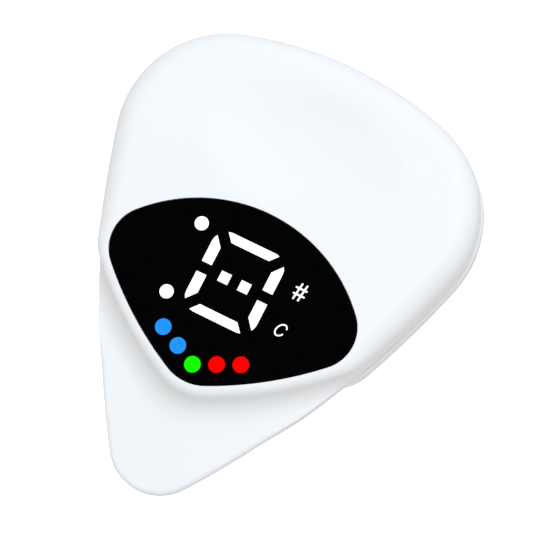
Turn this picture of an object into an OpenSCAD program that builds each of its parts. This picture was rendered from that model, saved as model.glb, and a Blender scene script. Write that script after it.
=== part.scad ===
// Clip-on tuner in the shape of a guitar pick, with a spring clip behind it.
// Frame: +Z is the way the display faces, and +Y runs from the jaw tip to the wide end.
// x = 0 is the plane of symmetry, y = 0 is half the length, z = 0 is the flat back of the clip arm.

/* [Pick outline] */
// Length from the jaw tip to the wide end
body_length = 60; // [58:0.5:74]
// Width across the shoulders
body_width = 48.5; // [46:0.5:60]
// Radius of the jaw tip
tip_radius = 6.8; // [5.5:0.1:8]
// Radius of the long bowed sides
side_radius = 120; // [100:1:200]
// Radius of the two shoulders
shoulder_radius = 14; // [11:0.5:16]
// Radius of the wide end
end_radius = 49; // [44:0.5:60]

/* [Front shell] */
// Height of the raised display housing above the seam
front_height = 6; // [5.5:0.1:8]
// Thickness of the tip plate, which is the fixed jaw
plate_thickness = 2; // [1.6:0.1:2.4]
// Thickness of the side wall
shell_wall = 1.6; // [1.2:0.1:2]
// Thickness of the front face
face_thickness = 2; // [1.6:0.1:2.4]
// Rounding of the front edge along the sides and the wide end
top_round = 3; // [2:0.1:3.4]
// Rounding of the narrow rim below the display
rim_round = 1; // [0.8:0.1:1.3]
// Rounding of the edge of the tip plate
plate_round = 0.6; // [0.3:0.1:0.9]
// Rounding of the underside of the tip plate's edge
under_round = 0.7; // [0.3:0.1:0.7]
// Distance that the tip plate's edge stands back from the pick outline
plate_inset = 0.3; // [0:0.05:0.4]
// Reach of the hollow sweep from the rim down to the tip plate
sweep_reach = 4.5; // [2:0.1:6]
// Share of the wall below the rim that the sweep climbs
sweep_climb = 0.85; // [0.5:0.05:0.9]
// Radius of the corners where the rim meets the sides
corner_radius = 6.4; // [5:0.1:8]
// Chamfer of the shell's edge at the seam
seam_chamfer = 0.15; // [0.1:0.05:0.3]
// Diameter of the bosses for the housing screws
boss_diameter = 4.4; // [4:0.1:5]
// Depth of the screw holes in the bosses
bore_depth = 3.2; // [2.8:0.1:3.4]

/* [Thumb dish] */
// Width of the dish across the body
dish_width = 28; // [20:0.5:32]
// Length of the dish along the body
dish_length = 16.8; // [12:0.2:17]
// Depth at the middle of the dish
dish_depth = 0.8; // [0.5:0.1:1.2]
// Distance from the wide end to the middle of the dish
dish_from_end = 12.6; // [11:0.1:13]

/* [Display window] */
// Length of the window
window_length = 23.5; // [21:0.1:25]
// Width of the window
window_width = 34; // [30:0.2:37]
// Radius of the window's lower tip
window_tip_radius = 6.2; // [4:0.1:8]
// Radius of the window's lower sides
window_side_radius = 48; // [40:1:80]
// Radius of the window's corners
window_corner_radius = 5.2; // [4:0.1:6]
// Radius of the window's upper edge
window_end_radius = 21.3; // [20:0.1:30]
// Distance from the jaw tip to the window's lower tip
window_from_tip = 14.8; // [13:0.1:18]
// Width of the rim between the window and the edge below it
rim_width = 1.3; // [1:0.1:1.8]
// Thickness of the lens
lens_thickness = 1; // [0.8:0.1:1.2]
// Thickness of the adhesive tape under the lens
tape_thickness = 0.1; // [0.05:0.05:0.2]
// Width of the ledge that carries the lens
ledge_width = 0.9; // [0.7:0.1:1.2]

/* [Display legends] */
// Width of the digit
digit_width = 10; // [8:0.2:12]
// Height of the digit
digit_height = 11; // [9:0.2:12]
// Thickness of the digit's bars
bar_thickness = 1.4; // [1:0.1:1.8]
// Thickness of the digit's top and bottom bars
end_bar_thickness = 1.2; // [1:0.1:1.6]
// Half the length of the inner edge of the top and bottom bars
end_bar_inner = 2.65; // [2.2:0.05:3]
// Half the length of the outer edge of the top and bottom bars
end_bar_outer = 3.6; // [3.2:0.05:3.9]
// Length of the inner edge of each side bar
side_bar_inner = 2.45; // [2:0.05:2.6]
// Length of the outer edge of each side bar
side_bar_outer = 3.2; // [2.8:0.05:3.5]
// Length of each side bar up to its point
side_bar_point = 3.75; // [3.5:0.05:4]
// Distance of that point from the bar's outer edge
point_inset = 0.3; // [0.1:0.05:0.5]
// Bevel at the ends of the top and bottom bars
bar_bevel = 0.12; // [0.05:0.01:0.2]
// Distance from the window's upper edge to the middle of the digit
digit_from_top = 9.7; // [9:0.1:11]
// Side of the two square dashes
dash_size = 1.4; // [1:0.05:1.8]
// Diameter of the two mode dots
mode_dot_diameter = 1.8; // [1.4:0.05:2.2]
// Distance of the mode dots from the middle plane
mode_dot_x = 7.2; // [6.8:0.1:7.6]
// Height of the upper mode dot above the middle of the digit
upper_dot_y = 4.9; // [4:0.1:5.2]
// Depth of the lower mode dot below the middle of the digit
lower_dot_y = 4.7; // [4:0.1:5]
// Distance of the sharp sign and the mode sign from the middle plane
sign_x = 8; // [7.6:0.1:8.4]
// Height of the sharp sign above the middle of the digit
sharp_y = 2.5; // [2:0.1:3.2]
// Length of the sharp sign's upright strokes
sharp_height = 2.35; // [2:0.05:2.6]
// Length of the sharp sign's level strokes
sharp_width = 1.65; // [1.4:0.05:2]
// Distance between its upright strokes
sharp_step = 0.67; // [0.6:0.01:0.8]
// Distance between its level strokes
sharp_rise = 0.81; // [0.7:0.01:0.9]
// Lean of its upright strokes, in degrees
sharp_lean = 7.5; // [0:0.5:12]
// Width of its strokes
sharp_stroke = 0.24; // [0.2:0.01:0.3]
// Depth of the mode sign below the middle of the digit
mode_sign_y = 2.8; // [2.4:0.1:3.2]
// Width of the mode sign
mode_sign_width = 1.2; // [1:0.05:1.5]
// Height of the mode sign
mode_sign_height = 1.6; // [1.3:0.05:1.9]
// Sideways lean of the mode sign over half its height
mode_sign_lean = 0.2; // [0:0.05:0.3]
// Width of the mode sign's stroke
mode_sign_stroke = 0.2; // [0.18:0.01:0.26]
// Diameter of the five meter dots
meter_dot_diameter = 2.1; // [1.6:0.05:2.4]
// Step between meter dots across the body
meter_step = 2.75; // [2.5:0.05:3]
// Rise of each meter dot over the one nearer the middle
meter_rise = 1.3; // [1:0.05:1.6]
// Depth of the middle meter dot below the middle of the digit
meter_drop = 11.45; // [11:0.05:11.8]
// Depth of the legends in the lens
legend_depth = 0.4; // [0.2:0.1:0.6]

/* [Rear cover] */
// Height of the rear cover below the seam
rear_height = 4; // [3.8:0.1:6]
// Thickness of the cover's floor
cover_floor = 1.2; // [1:0.1:1.6]
// Rounding of the cover's back edge
cover_round = 1.1; // [0.8:0.1:2.4]
// Distance that the cover's wall stands proud of the front shell's
cover_proud = 0.15; // [0:0.05:0.25]
// Rounding of the cover's edge below the shadow groove
cover_edge_round = 0.3; // [0.2:0.05:0.35]
// Depth of the shadow groove round the cover at the seam, from the front shell's wall
groove_depth = 0.5; // [0.4:0.05:0.6]
// Height of the shadow groove
groove_height = 0.6; // [0.3:0.05:0.7]
// Height of the lip that locates the cover in the front shell
lip_height = 1; // [0.6:0.1:1.2]
// Thickness of the lip
lip_thickness = 0.8; // [0.6:0.1:1]
// Diameter of the cover's bosses round the screw holes
cover_boss_diameter = 6; // [5.4:0.1:6.4]

/* [Clip arm] */
// Finger gap between the rear cover and the arm
press_gap = 10.1; // [9:0.1:13]
// Thickness of the arm
arm_thickness = 2.4; // [2:0.1:3]
// Width of the arm
arm_width = 34; // [28:0.5:38]
// Radius of the arm's tip
arm_tip_radius = 5.5; // [4.5:0.1:6.5]
// Radius of the arm's long sides
arm_side_radius = 108; // [95:1:160]
// Radius of the arm's shoulders
arm_corner_radius = 10; // [8:0.5:12]
// Radius of the arm's end
arm_end_radius = 40; // [36:0.5:50]
// Distance from the jaw tip of the body to the arm's tip
arm_tip_inset = 3.5; // [3:0.1:5]
// Distance from the wide end of the body to the arm's end
arm_end_inset = 4; // [3.5:0.1:6]
// Slope of the arm's middle part, in degrees
arm_slope = 38; // [32:1:45]
// Radius inside the arm's lower bend
lower_bend_radius = 8; // [4:0.5:12]
// Distance from the hinge pin to the start of the lower bend
bend_from_hinge = 7; // [6:0.1:8]
// Radius inside the arm's upper bend
upper_bend_radius = 4; // [2:0.5:6]
// Height of the two ribs along the arm
rib_height = 1.2; // [0.8:0.1:1.6]
// Length of the ribs in front of the lower bend's start
rib_front_length = 7; // [4:0.5:8]
// Length of the ribs behind the hinge pin
rib_back_length = 9.5; // [8:0.1:9.6]
// Number of grip grooves across the arm's end
groove_count = 4; // [2:1:5]
// Distance between grip grooves
groove_step = 2.8; // [2.4:0.1:3]
// Distance from the arm's end to the nearest grip groove
grip_from_end = 4; // [3:0.1:4.4]
// Radius of the grip grooves
grip_radius = 1.6; // [1.2:0.1:2]
// Depth of the grip grooves
grip_depth = 0.5; // [0.3:0.1:0.7]

/* [Hinge and spring] */
// Distance from the wide end to the hinge pin
hinge_from_end = 23; // [20:0.5:26]
// Distance from the rear cover's back to the hinge pin
hinge_drop = 5; // [4.5:0.1:5.5]
// Diameter of the hinge pin
pin_diameter = 2; // [1.6:0.1:2.4]
// Radius of the hinge knuckles
knuckle_radius = 2.9; // [2.6:0.1:3.2]
// Thickness of each ear and each lug
knuckle_thickness = 2.5; // [2:0.1:3]
// Reach of each ear's foot to both sides of the pin
ear_foot = 5; // [4:0.1:5.5]
// Reach of each lug's foot in front of the pin
lug_foot_front = 6; // [5:0.1:6.5]
// Reach of each lug's foot behind the pin
lug_foot_back = 9; // [7:0.1:9.4]
// Width between the arm's two lugs, which the spring fills
spring_room = 8.4; // [7:0.1:9]
// Diameter of the spring wire
wire_diameter = 0.8; // [0.6:0.05:1]
// Mean radius of the spring's turns
coil_radius = 1.75; // [1.6:0.05:1.9]
// Gap between the spring's turns
turn_gap = 0.15; // [0.12:0.01:0.2]
// Length of the spring's legs
leg_length = 9.5; // [7:0.5:11]
// Whole turns on each half of the spring
half_turns = 3; // [2:1:3]

/* [Jaw pads] */
// Thickness of each jaw pad
pad_thickness = 1.6; // [1.2:0.1:2]
// Length of the jaw pads along the body
pad_length = 8.4; // [6:0.1:9]
// Gap between the closed pads
pad_gap = 0.2; // [0.1:0.05:0.4]
// Distance from the body's outline to the fixed pad
fixed_pad_inset = 4.1; // [3.8:0.1:4.6]
// Distance from the arm's outline to the moving pad
moving_pad_inset = 0.9; // [0.7:0.1:1.3]
// Radius of the grooves across each pad
pad_groove_radius = 0.5; // [0.3:0.1:0.6]

/* [Board and cell] */
// Thickness of the circuit board
board_thickness = 0.8; // [0.6:0.1:1]
// Height of the board's underside above the seam
board_height = 0.6; // [0.5:0.05:0.8]
// Width of the battery cell
cell_width = 20; // [14:0.5:22]
// Length of the battery cell
cell_length = 15; // [10:0.5:16]
// Thickness of the battery cell
cell_thickness = 2.8; // [2:0.1:2.9]
// Distance from the hinge pin to the middle of the cell
cell_from_hinge = 7; // [6.5:0.1:7.5]
// Rounding of the cell's corners
cell_corner = 0.8; // [0.5:0.1:1.2]
// Thickness of the tape under the cell
cell_tape_thickness = 0.2; // [0.1:0.05:0.2]
// Distance of that tape's edge from the cell's edge
cell_tape_inset = 1; // [0.6:0.1:1.6]
// Width of the cell's two tabs
tab_width = 2; // [1.4:0.1:2.6]
// Thickness of the cell's tabs
tab_thickness = 0.2; // [0.1:0.05:0.3]
// Distance of the tabs from the middle plane
tab_x = 5; // [4:0.1:5.6]
// Height of the tabs' lower edge above the tape
tab_rise = 1.2; // [0.8:0.1:1.6]
// Distance from the wide end to the middle of the vibration sensor
sensor_from_end = 15.6; // [15:0.1:16]
// Diameter of the vibration sensor
sensor_diameter = 10; // [8:0.5:10]
// Thickness of the sensor's brass disc
disc_thickness = 0.3; // [0.2:0.05:0.4]
// Diameter of the sensor's ceramic layer
ceramic_diameter = 7; // [5:0.1:7.4]
// Thickness of the sensor's ceramic layer
ceramic_thickness = 0.2; // [0.1:0.05:0.3]
// Diameter of the sensor's two contacts
contact_diameter = 0.8; // [0.6:0.1:1]
// Distance from the sensor's middle to its outer contact
contact_x = 4.3; // [4.1:0.1:4.4]
// Side of the controller chip
controller_size = 5; // [4:0.5:5.5]
// Thickness of the controller chip
controller_thickness = 0.8; // [0.6:0.1:1]
// Length of the charging chip
charger_length = 2.9; // [2:0.1:3.2]
// Width of the charging chip
charger_width = 1.6; // [1.2:0.1:1.8]
// Thickness of the charging chip
charger_thickness = 1.1; // [0.7:0.1:1.2]
// Length of the small board parts and of the lights
chip_length = 1; // [0.6:0.1:1]
// Width and height of the small board parts and of the lights
chip_width = 0.5; // [0.3:0.05:0.5]
// Distance of the left row of small parts from the middle plane
left_row_x = 9; // [8.4:0.1:9.4]
// Distance of the right row of small parts from the middle plane
right_row_x = 6; // [4.4:0.1:6]
// Step between the small parts of those two rows
row_step = 1.3; // [1:0.05:1.3]
// Distance of the cross row of small parts behind the middle of the dish
cross_row_y = 3.6; // [3.4:0.1:3.8]
// Step between the small parts of the cross row
cross_row_step = 2.4; // [1.6:0.1:2.4]

/* [Socket and button] */
// Width of the charging socket
socket_width = 8.94; // [8.9:0.01:9]
// Height of the charging socket
socket_height = 3.16; // [3.1:0.01:3.2]
// Depth of the charging socket
socket_depth = 7.3; // [6.5:0.1:7.9]
// Angle of the power button round the wide end, in degrees
button_angle = 11.5; // [11:0.5:13]
// Width of the power button
button_width = 6.4; // [5:0.1:6.6]
// Height of the power button
button_height = 2.2; // [1.8:0.1:2.3]
// Distance that the power button stands out
button_rise = 0.4; // [0.3:0.05:0.5]
// Thickness of the button's flange inside the wall
flange_thickness = 0.8; // [0.6:0.1:0.9]
// Reach of the flange past the button on each side
flange_reach = 0.8; // [0.5:0.1:0.9]
// Free travel between the flange and the switch
switch_gap = 0.85; // [0.8:0.05:1]
// Depth of the switch's body
switch_depth = 2.6; // [2:0.1:2.8]
// Width of the switch's body
switch_width = 4.8; // [4:0.1:5]
// Diameter of the switch's plunger
plunger_diameter = 1.4; // [1:0.1:1.5]
// Reach of the switch's plunger into its body
plunger_reach = 0.65; // [0.4:0.05:0.9]
// Depth of the switch's body below the middle of the button
switch_drop = 1.2; // [0.9:0.1:1.2]
// Thickness of the socket's steel shell
socket_wall = 0.3; // [0.25:0.05:0.35]
// Thickness of the socket's back
socket_back = 1; // [0.6:0.1:1.2]
// Distance of the socket's mouth from the wide end
socket_set_back = 0.7; // [0.5:0.1:0.8]
// Width of the socket's tongue
tongue_width = 6.7; // [6.4:0.01:6.8]
// Length of the socket's tongue
tongue_length = 4.6; // [4:0.1:4.8]
// Thickness of the socket's tongue
tongue_thickness = 0.7; // [0.6:0.05:0.8]

/* [Screws] */
// Thread diameter of the two housing screws
screw_diameter = 2; // [1.6:0.1:2.2]
// Distance of the screws from the middle plane
screw_x = 16.5; // [15:0.5:17]
// Distance of the screws from the wide end
screw_from_end = 15.5; // [14:0.5:17]
// Diameter of the screws' core
core_diameter = 1.66; // [1.3:0.01:1.7]
// Diameter of the screws' heads
head_diameter = 3.6; // [3:0.1:3.8]
// Height of the screws' heads
head_height = 1.3; // [1:0.1:1.4]
// Depth that the heads sink below the cover's back
head_sink = 0.2; // [0.1:0.05:0.3]
// Reach of the screws past the board
screw_reach = 2.6; // [2:0.1:2.7]
// Width of the cross recess in the screws' heads
recess_width = 2.2; // [1.6:0.1:2.4]
// Width of each slot of the recess
recess_slot = 0.4; // [0.3:0.05:0.6]
// Depth of the recess
recess_depth = 0.6; // [0.4:0.1:0.7]

/* [Fits] */
// Clearance between pieces that are fitted together and stay
fit_gap = 0.1; // [0.05:0.05:0.15]
// Clearance round a piece that slides
slide_gap = 0.15; // [0.1:0.05:0.2]
// Clearance round the pin in the arm's lugs
pin_gap = 0.05; // [0.03:0.01:0.08]
// Clearance between the arm's lugs and the cover's ears
side_gap = 0.3; // [0.2:0.05:0.4]

/* [Hidden] */
$fn = 48;

// A small overlap that makes cuts and joins clean
bite = 0.4;
steps_per_round = 4;

// Largest share of the plate's reach that the hollow sweep takes, and the width of the plate's
// flat at which its edge is rounded in full
sweep_most = 0.7;
full_flat = 1.5;

white = "#f5f6f8";
grey = "#8f9499";
black = "#101113";

tip_y = -body_length / 2;
end_y = body_length / 2;
seam_z = rear_height + press_gap + arm_thickness;

// Circles: the two tangent circles of a corner share a line through their centres.
function heading(v) = atan2(v[1], v[0]);
function mix(a, b, t) = a + (b - a) * t;
function ease(t) = let (c = max(0, min(1, t))) c * c * (3 - 2 * c);
function circles_meet(a, ra, b, rb, side) =
    let (
        span = norm(b - a),
        along = (b - a) / span,
        foot = (ra * ra - rb * rb + span * span) / (2 * span),
        rise = sqrt(ra * ra - foot * foot)
    )
    a + along * foot + side * rise * [-along[1], along[0]];

// The right half of a pick outline, from its tip to its wide end, as [centre, radius] arcs
function pick_arcs(lowest, length, width, tip_r, side_r, corner_r, end_r) =
    let (
        tip = [0, lowest + tip_r],
        end = [0, lowest + length - end_r],
        corner_x = width / 2 - corner_r,
        corner_y = end[1] + sqrt(pow(end_r - corner_r, 2) - pow(corner_x, 2)),
        corner = [corner_x, corner_y],
        side = circles_meet(tip, side_r - tip_r, corner, side_r - corner_r, 1)
    )
    [[tip, tip_r], [side, side_r], [corner, corner_r], [end, end_r]];

function join_angle(a, b) = a[1] < b[1] ? heading(a[0] - b[0]) : heading(b[0] - a[0]);

// Samples of the right half, each [centre x, centre y, radius, angle]
function half_samples(arcs, counts, stops) =
    [
        for (i = [0:len(arcs) - 1])
        let (
            from = i == 0 ? -90 : stops[i - 1],
            to = i == len(arcs) - 1 ? 90 : stops[i]
        )
        for (k = [0:counts[i] - 1])
        [arcs[i][0][0], arcs[i][0][1], arcs[i][1], mix(from, to, k / counts[i])]
    ];
function joins(arcs) = [for (i = [0:len(arcs) - 2]) join_angle(arcs[i], arcs[i + 1])];
function both_halves(half, end) =
    concat(
        half,
        [[end[0][0], end[0][1], end[1], 90]],
        [for (i = [len(half) - 1:-1:1]) [-half[i][0], half[i][1], half[i][2], 180 - half[i][3]]]
    );
function outline(arcs, counts) =
    both_halves(half_samples(arcs, counts, joins(arcs)), arcs[len(arcs) - 1]);
function place(sample, inset) =
    [sample[0], sample[1]] + (sample[2] - inset) * [cos(sample[3]), sin(sample[3])];
function inset_points(samples, inset) = [for (s = samples) place(s, inset)];

body_arcs = pick_arcs(
    tip_y, body_length, body_width, tip_radius, side_radius, shoulder_radius, end_radius
);
window_arcs = pick_arcs(
    tip_y + window_from_tip, window_length, window_width,
    window_tip_radius, window_side_radius, window_corner_radius, window_end_radius
);
window_samples = outline(window_arcs, [4, 8, 6, 8]);

// The raised housing: the pick outline above its corners, the window's lower sides below them
rim_tip = [window_arcs[0][0], window_arcs[0][1] + rim_width];
rim_side = [window_arcs[1][0], window_arcs[1][1] + rim_width];
housing_corner = [
    circles_meet(
        body_arcs[1][0], side_radius - corner_radius,
        rim_side[0], rim_side[1] - corner_radius, -1
    ),
    corner_radius
];
housing_arcs = [
    rim_tip, rim_side, housing_corner, body_arcs[1], body_arcs[2], body_arcs[3]
];
housing_samples = outline(housing_arcs, [6, 11, 5, 5, 9, 8]);
corner_stop = join_angle(body_arcs[1], housing_corner);
plate_arcs = [body_arcs[0], body_arcs[1], body_arcs[1], body_arcs[2], body_arcs[3]];
plate_stops = [
    join_angle(body_arcs[0], body_arcs[1]), corner_stop,
    join_angle(body_arcs[1], body_arcs[2]), join_angle(body_arcs[2], body_arcs[3])
];
plate_samples = both_halves(half_samples(plate_arcs, [9, 13, 5, 9, 8], plate_stops), body_arcs[3]);
ring_size = len(housing_samples);
all_points = [0:ring_size - 1];

// How far the tip plate reaches past the housing, and what share of that the hollow sweep takes
reach = [for (i = all_points) norm(place(plate_samples[i], 0) - place(housing_samples[i], 0))];
sweep_share = [
    for (i = all_points) min(sweep_reach, sweep_most * reach[i]) / max(reach[i], 0.001)
];

// Width of the plate's flat outside the sweep, square to the plate's edge. Where it is narrower
// than "full_flat" the plate's roundings shrink with it.
flat_width = [
    for (i = all_points)
    let (
        out = place(plate_samples[i], 0) - place(housing_samples[i], 0),
        way = [cos(plate_samples[i][3]), sin(plate_samples[i][3])]
    )
    (1 - sweep_share[i]) * (out * way)
];

// How far the housing's edge is from the window, and so how much it can be rounded
window_edge = inset_points(window_samples, 0);
window_distance = [
    for (i = all_points) min([for (w = window_edge) norm(w - place(housing_samples[i], 0))])
];
front_round = [
    for (i = all_points) max(rim_round, min(top_round, window_distance[i] - fit_gap))
];

// Heights from the seam
face_z = front_height;
cavity_z = front_height - face_thickness;
lens_z = front_height - lens_thickness;
ledge_z = lens_z - tape_thickness;
board_top = board_height + board_thickness;
shield_top = lens_z - fit_gap;
floor_z = cover_floor - rear_height;
cover_wall = shell_wall + fit_gap + lip_thickness;
digit_y = tip_y + window_from_tip + window_length - digit_from_top;
dish_y = end_y - dish_from_end;

// Clip
hinge_y = end_y - hinge_from_end;
hinge_z = -rear_height - hinge_drop;
arm_top_z = -rear_height - press_gap;
jaw_z = -2 * pad_thickness - pad_gap;
arm_arcs = pick_arcs(
    tip_y + arm_tip_inset, body_length - arm_tip_inset - arm_end_inset, arm_width,
    arm_tip_radius, arm_side_radius, arm_corner_radius, arm_end_radius
);
arm_samples = outline(arm_arcs, [6, 8, 6, 6]);
lug_inner = spring_room / 2;
ear_inner = lug_inner + knuckle_thickness + side_gap;
ear_outer = ear_inner + knuckle_thickness;
bend_start_y = hinge_y - bend_from_hinge;
low_end = [
    bend_start_y - lower_bend_radius * sin(arm_slope),
    arm_top_z + lower_bend_radius * (1 - cos(arm_slope))
];
upper_outer_radius = upper_bend_radius + arm_thickness;
high_start_z = jaw_z - upper_outer_radius * (1 - cos(arm_slope));
high_start_y = low_end[0] - (high_start_z - low_end[1]) / tan(arm_slope);
jaw_start_y = high_start_y - upper_outer_radius * sin(arm_slope);

// Button and screws
button_z = -button_height / 2 - fit_gap;
wall_inner = end_radius - cover_wall;
flange_half = button_width / 2 + flange_reach;
flange_outer = sqrt(pow(wall_inner, 2) - pow(flange_half, 2)) - fit_gap;
flange_inner = flange_outer - flange_thickness;
switch_front = flange_inner - switch_gap;
screw_y = end_y - screw_from_end;
head_seat_z = -rear_height + head_height + head_sink;
socket_z = board_height - socket_height / 2;
socket_front_y = end_y - socket_set_back;

module at_seam() {
    translate([0, 0, seam_z]) children();
}

// A flat slab between two heights, inside an outline by an inset
module slab(samples, inset, low, high) {
    translate([0, 0, low]) linear_extrude(high - low) polygon(inset_points(samples, inset));
}

// A closed skin through rings of points, each drawn on the last, with an optional last point
module skin(rings, peak) {
    size = len(rings[0]);
    last = (len(rings) - 1) * size;
    sides = [
        for (k = [0:len(rings) - 2], i = [0:size - 1])
        let (j = (i + 1) % size, a = k * size, b = a + size)
        each [[a + i, b + i, b + j], [a + i, b + j, a + j]]
    ];
    foot = [[for (i = [0:size - 1]) i]];
    cap = peak == undef
        ? [[for (i = [size - 1:-1:0]) last + i]]
        : [for (i = [0:size - 1]) [last + i, last + size, last + (i + 1) % size]];
    points = [for (r = rings) each r];
    polyhedron(
        points = peak == undef ? points : concat(points, [peak]),
        faces = concat(foot, cap, sides),
        convexity = 6
    );
}

// ---- front shell ----

// A ring of the plate: inset everywhere by "plain", and by "more" besides where the plate has
// its full flat
function plate_ring(plain, more, z) =
    [
        for (i = all_points)
        let (p = place(plate_samples[i], plain + more * ease(flat_width[i] / full_flat)))
        [p[0], p[1], z]
    ];
function under_inset(z) = under_round - sqrt(pow(under_round, 2) - pow(under_round - z, 2));

// The hollow sweep: a quarter turn from level with the plate to upright against the housing
function sweep_ring(turn) =
    [
        for (i = all_points)
        let (
            inner = place(housing_samples[i], 0),
            p = mix(inner, place(plate_samples[i], 0), sweep_share[i] * (1 - sin(turn))),
            climb = sweep_climb * (face_z - front_round[i] - plate_thickness)
        )
        [p[0], p[1], plate_thickness + climb * (1 - cos(turn))]
    ];
function edge_ring(turn) =
    [
        for (i = all_points)
        let (r = front_round[i], p = place(housing_samples[i], r * (1 - cos(turn))))
        [p[0], p[1], face_z - r * (1 - sin(turn))]
    ];
function dish_ring(share) =
    [
        for (i = all_points)
        let (
            edge = place(housing_samples[i], front_round[i]) - [0, dish_y],
            way = heading(edge),
            radius = 1 / norm([cos(way) / (dish_width / 2), sin(way) / (dish_length / 2)])
        )
        [
            share * radius * cos(way),
            dish_y + share * radius * sin(way),
            face_z - dish_depth * pow(1 - share * share, 1.3)
        ]
    ];

module front_skin() {
    quarter = [for (k = [0:steps_per_round]) 90 * k / steps_per_round];
    skin(
        concat(
            [
                plate_ring(seam_chamfer, plate_inset + under_round - seam_chamfer, 0),
                plate_ring(0, plate_inset + under_inset(seam_chamfer), seam_chamfer),
                plate_ring(0, plate_inset + under_inset(under_round / 2), under_round / 2),
                plate_ring(0, plate_inset, under_round),
                plate_ring(0, plate_inset, plate_thickness - plate_round),
                plate_ring(0, plate_inset + plate_round * 0.3, plate_thickness - plate_round * 0.4),
                plate_ring(0, plate_inset + plate_round, plate_thickness - plate_round * 0.15)
            ],
            [for (turn = quarter) sweep_ring(turn)],
            [for (turn = quarter) edge_ring(turn)],
            [for (share = [1, 0.93, 0.8, 0.62, 0.42, 0.2]) dish_ring(share)]
        ),
        [0, dish_y, face_z - dish_depth]
    );
}

// The hole in the end wall for the charging plug, shared by both shells
module socket_opening() {
    rounding = socket_height / 2 + slide_gap;
    half = socket_width / 2 + slide_gap - rounding;
    translate([0, end_y + 1, socket_z]) rotate([90, 0, 0]) {
        for (side = [-1, 1]) translate([side * half, 0, 0]) cylinder(r = rounding, h = 5);
        translate([-half, -rounding, 0]) cube([2 * half, 2 * rounding, 5]);
    }
}

module screw_places() {
    for (side = [-1, 1]) translate([side * screw_x, screw_y, 0]) children();
}

module front_shell() {
    color(white) at_seam() difference() {
        union() {
            difference() {
                front_skin();
                slab(housing_samples, shell_wall, -1, cavity_z);
                slab(window_samples, 0, ledge_z, face_z + 1);
                slab(window_samples, ledge_width, cavity_z - bite, face_z);
            }
            screw_places() translate([0, 0, board_top + fit_gap])
                cylinder(d = boss_diameter, h = cavity_z - board_top - fit_gap + bite);
        }
        screw_places() translate([0, 0, board_top])
            cylinder(d = core_diameter + 0.04, h = bore_depth);
        socket_opening();
    }
}

// ---- rear cover ----

function cover_ring(inset, z) =
    [for (s = housing_samples) let (p = place(s, inset)) [p[0], p[1], z]];

module cover_skin() {
    quarter = [for (k = [0:steps_per_round]) 90 * k / steps_per_round];
    skin(
        concat(
            [
                for (turn = quarter)
                cover_ring(
                    cover_round * (1 - sin(turn)) - cover_proud,
                    -rear_height + cover_round * (1 - cos(turn))
                )
            ],
            [
                for (turn = quarter)
                cover_ring(
                    cover_edge_round * (1 - cos(turn)) - cover_proud,
                    -groove_height - cover_edge_round * (1 - sin(turn))
                )
            ],
            [
                cover_ring(groove_depth, -groove_height),
                cover_ring(groove_depth, 0)
            ]
        )
    );
}

// One hinge knuckle on its foot, as a plate square to the pin
module knuckle(inner, foot_z, foot_low, foot_high) {
    for (side = [-1, 1])
        translate([side * (inner + knuckle_thickness / 2), 0, 0])
            rotate([90, 0, 90])
                translate([0, 0, -knuckle_thickness / 2]) linear_extrude(knuckle_thickness) {
                    translate([hinge_y, hinge_z]) circle(r = knuckle_radius);
                    polygon([
                        [hinge_y - knuckle_radius, hinge_z],
                        [hinge_y + knuckle_radius, hinge_z],
                        [hinge_y + foot_high, foot_z],
                        [hinge_y - foot_low, foot_z]
                    ]);
                }
}

// A rod along the hinge line
module hinge_rod(radius, half_width) {
    translate([-half_width, hinge_y, hinge_z]) rotate([0, 90, 0])
        cylinder(r = radius, h = 2 * half_width);
}

module button_place() {
    translate(body_arcs[3][0]) rotate([0, 0, button_angle]) children();
}

module rear_cover() {
    color(white) at_seam() difference() {
        union() {
            difference() {
                union() {
                    cover_skin();
                    slab(housing_samples, shell_wall + fit_gap, -bite, lip_height);
                }
                slab(housing_samples, cover_wall, floor_z, lip_height + 1);
            }
            screw_places() translate([0, 0, -rear_height + bite])
                cylinder(d = cover_boss_diameter, h = rear_height + board_height - fit_gap - bite);
            knuckle(ear_inner, floor_z - bite, ear_foot, ear_foot);
        }
        screw_places() {
            translate([0, 0, -rear_height - 1])
                cylinder(d = head_diameter + 2 * slide_gap, h = head_seat_z + rear_height + 1);
            translate([0, 0, -rear_height]) cylinder(d = screw_diameter + 0.2, h = 6);
        }
        hinge_rod(pin_diameter / 2 + 0.01, ear_outer + 1);
        socket_opening();
        button_place() translate([
            -button_width / 2 - slide_gap, wall_inner - 1, button_z - button_height / 2 - slide_gap
        ])
            cube([button_width + 2 * slide_gap, cover_wall + 3, 5]);
    }
}

// ---- clip ----

function arc_points(centre, radius, from, to) =
    [
        for (k = [0:5])
        let (a = mix(from, to, k / 5))
        centre + radius * [cos(a), sin(a)]
    ];

// Side view of the arm: flat behind, then up the slope, then level along the jaw
module arm_profile() {
    low = [bend_start_y, arm_top_z + lower_bend_radius];
    high = [jaw_start_y, jaw_z - upper_outer_radius];
    polygon(concat(
        [[end_y, arm_top_z]],
        arc_points(low, lower_bend_radius, -90, -90 - arm_slope),
        arc_points(high, upper_outer_radius, 90 - arm_slope, 90),
        [[tip_y, jaw_z], [tip_y, jaw_z - arm_thickness]],
        arc_points(high, upper_bend_radius, 90, 90 - arm_slope),
        arc_points(low, lower_bend_radius + arm_thickness, -90 - arm_slope, -90),
        [[end_y, arm_top_z - arm_thickness]]
    ));
}

// The arm's side view drawn right across the body
module arm_sheet() {
    rotate([90, 0, 90]) translate([0, 0, -body_width / 2])
        linear_extrude(body_width) arm_profile();
}

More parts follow.
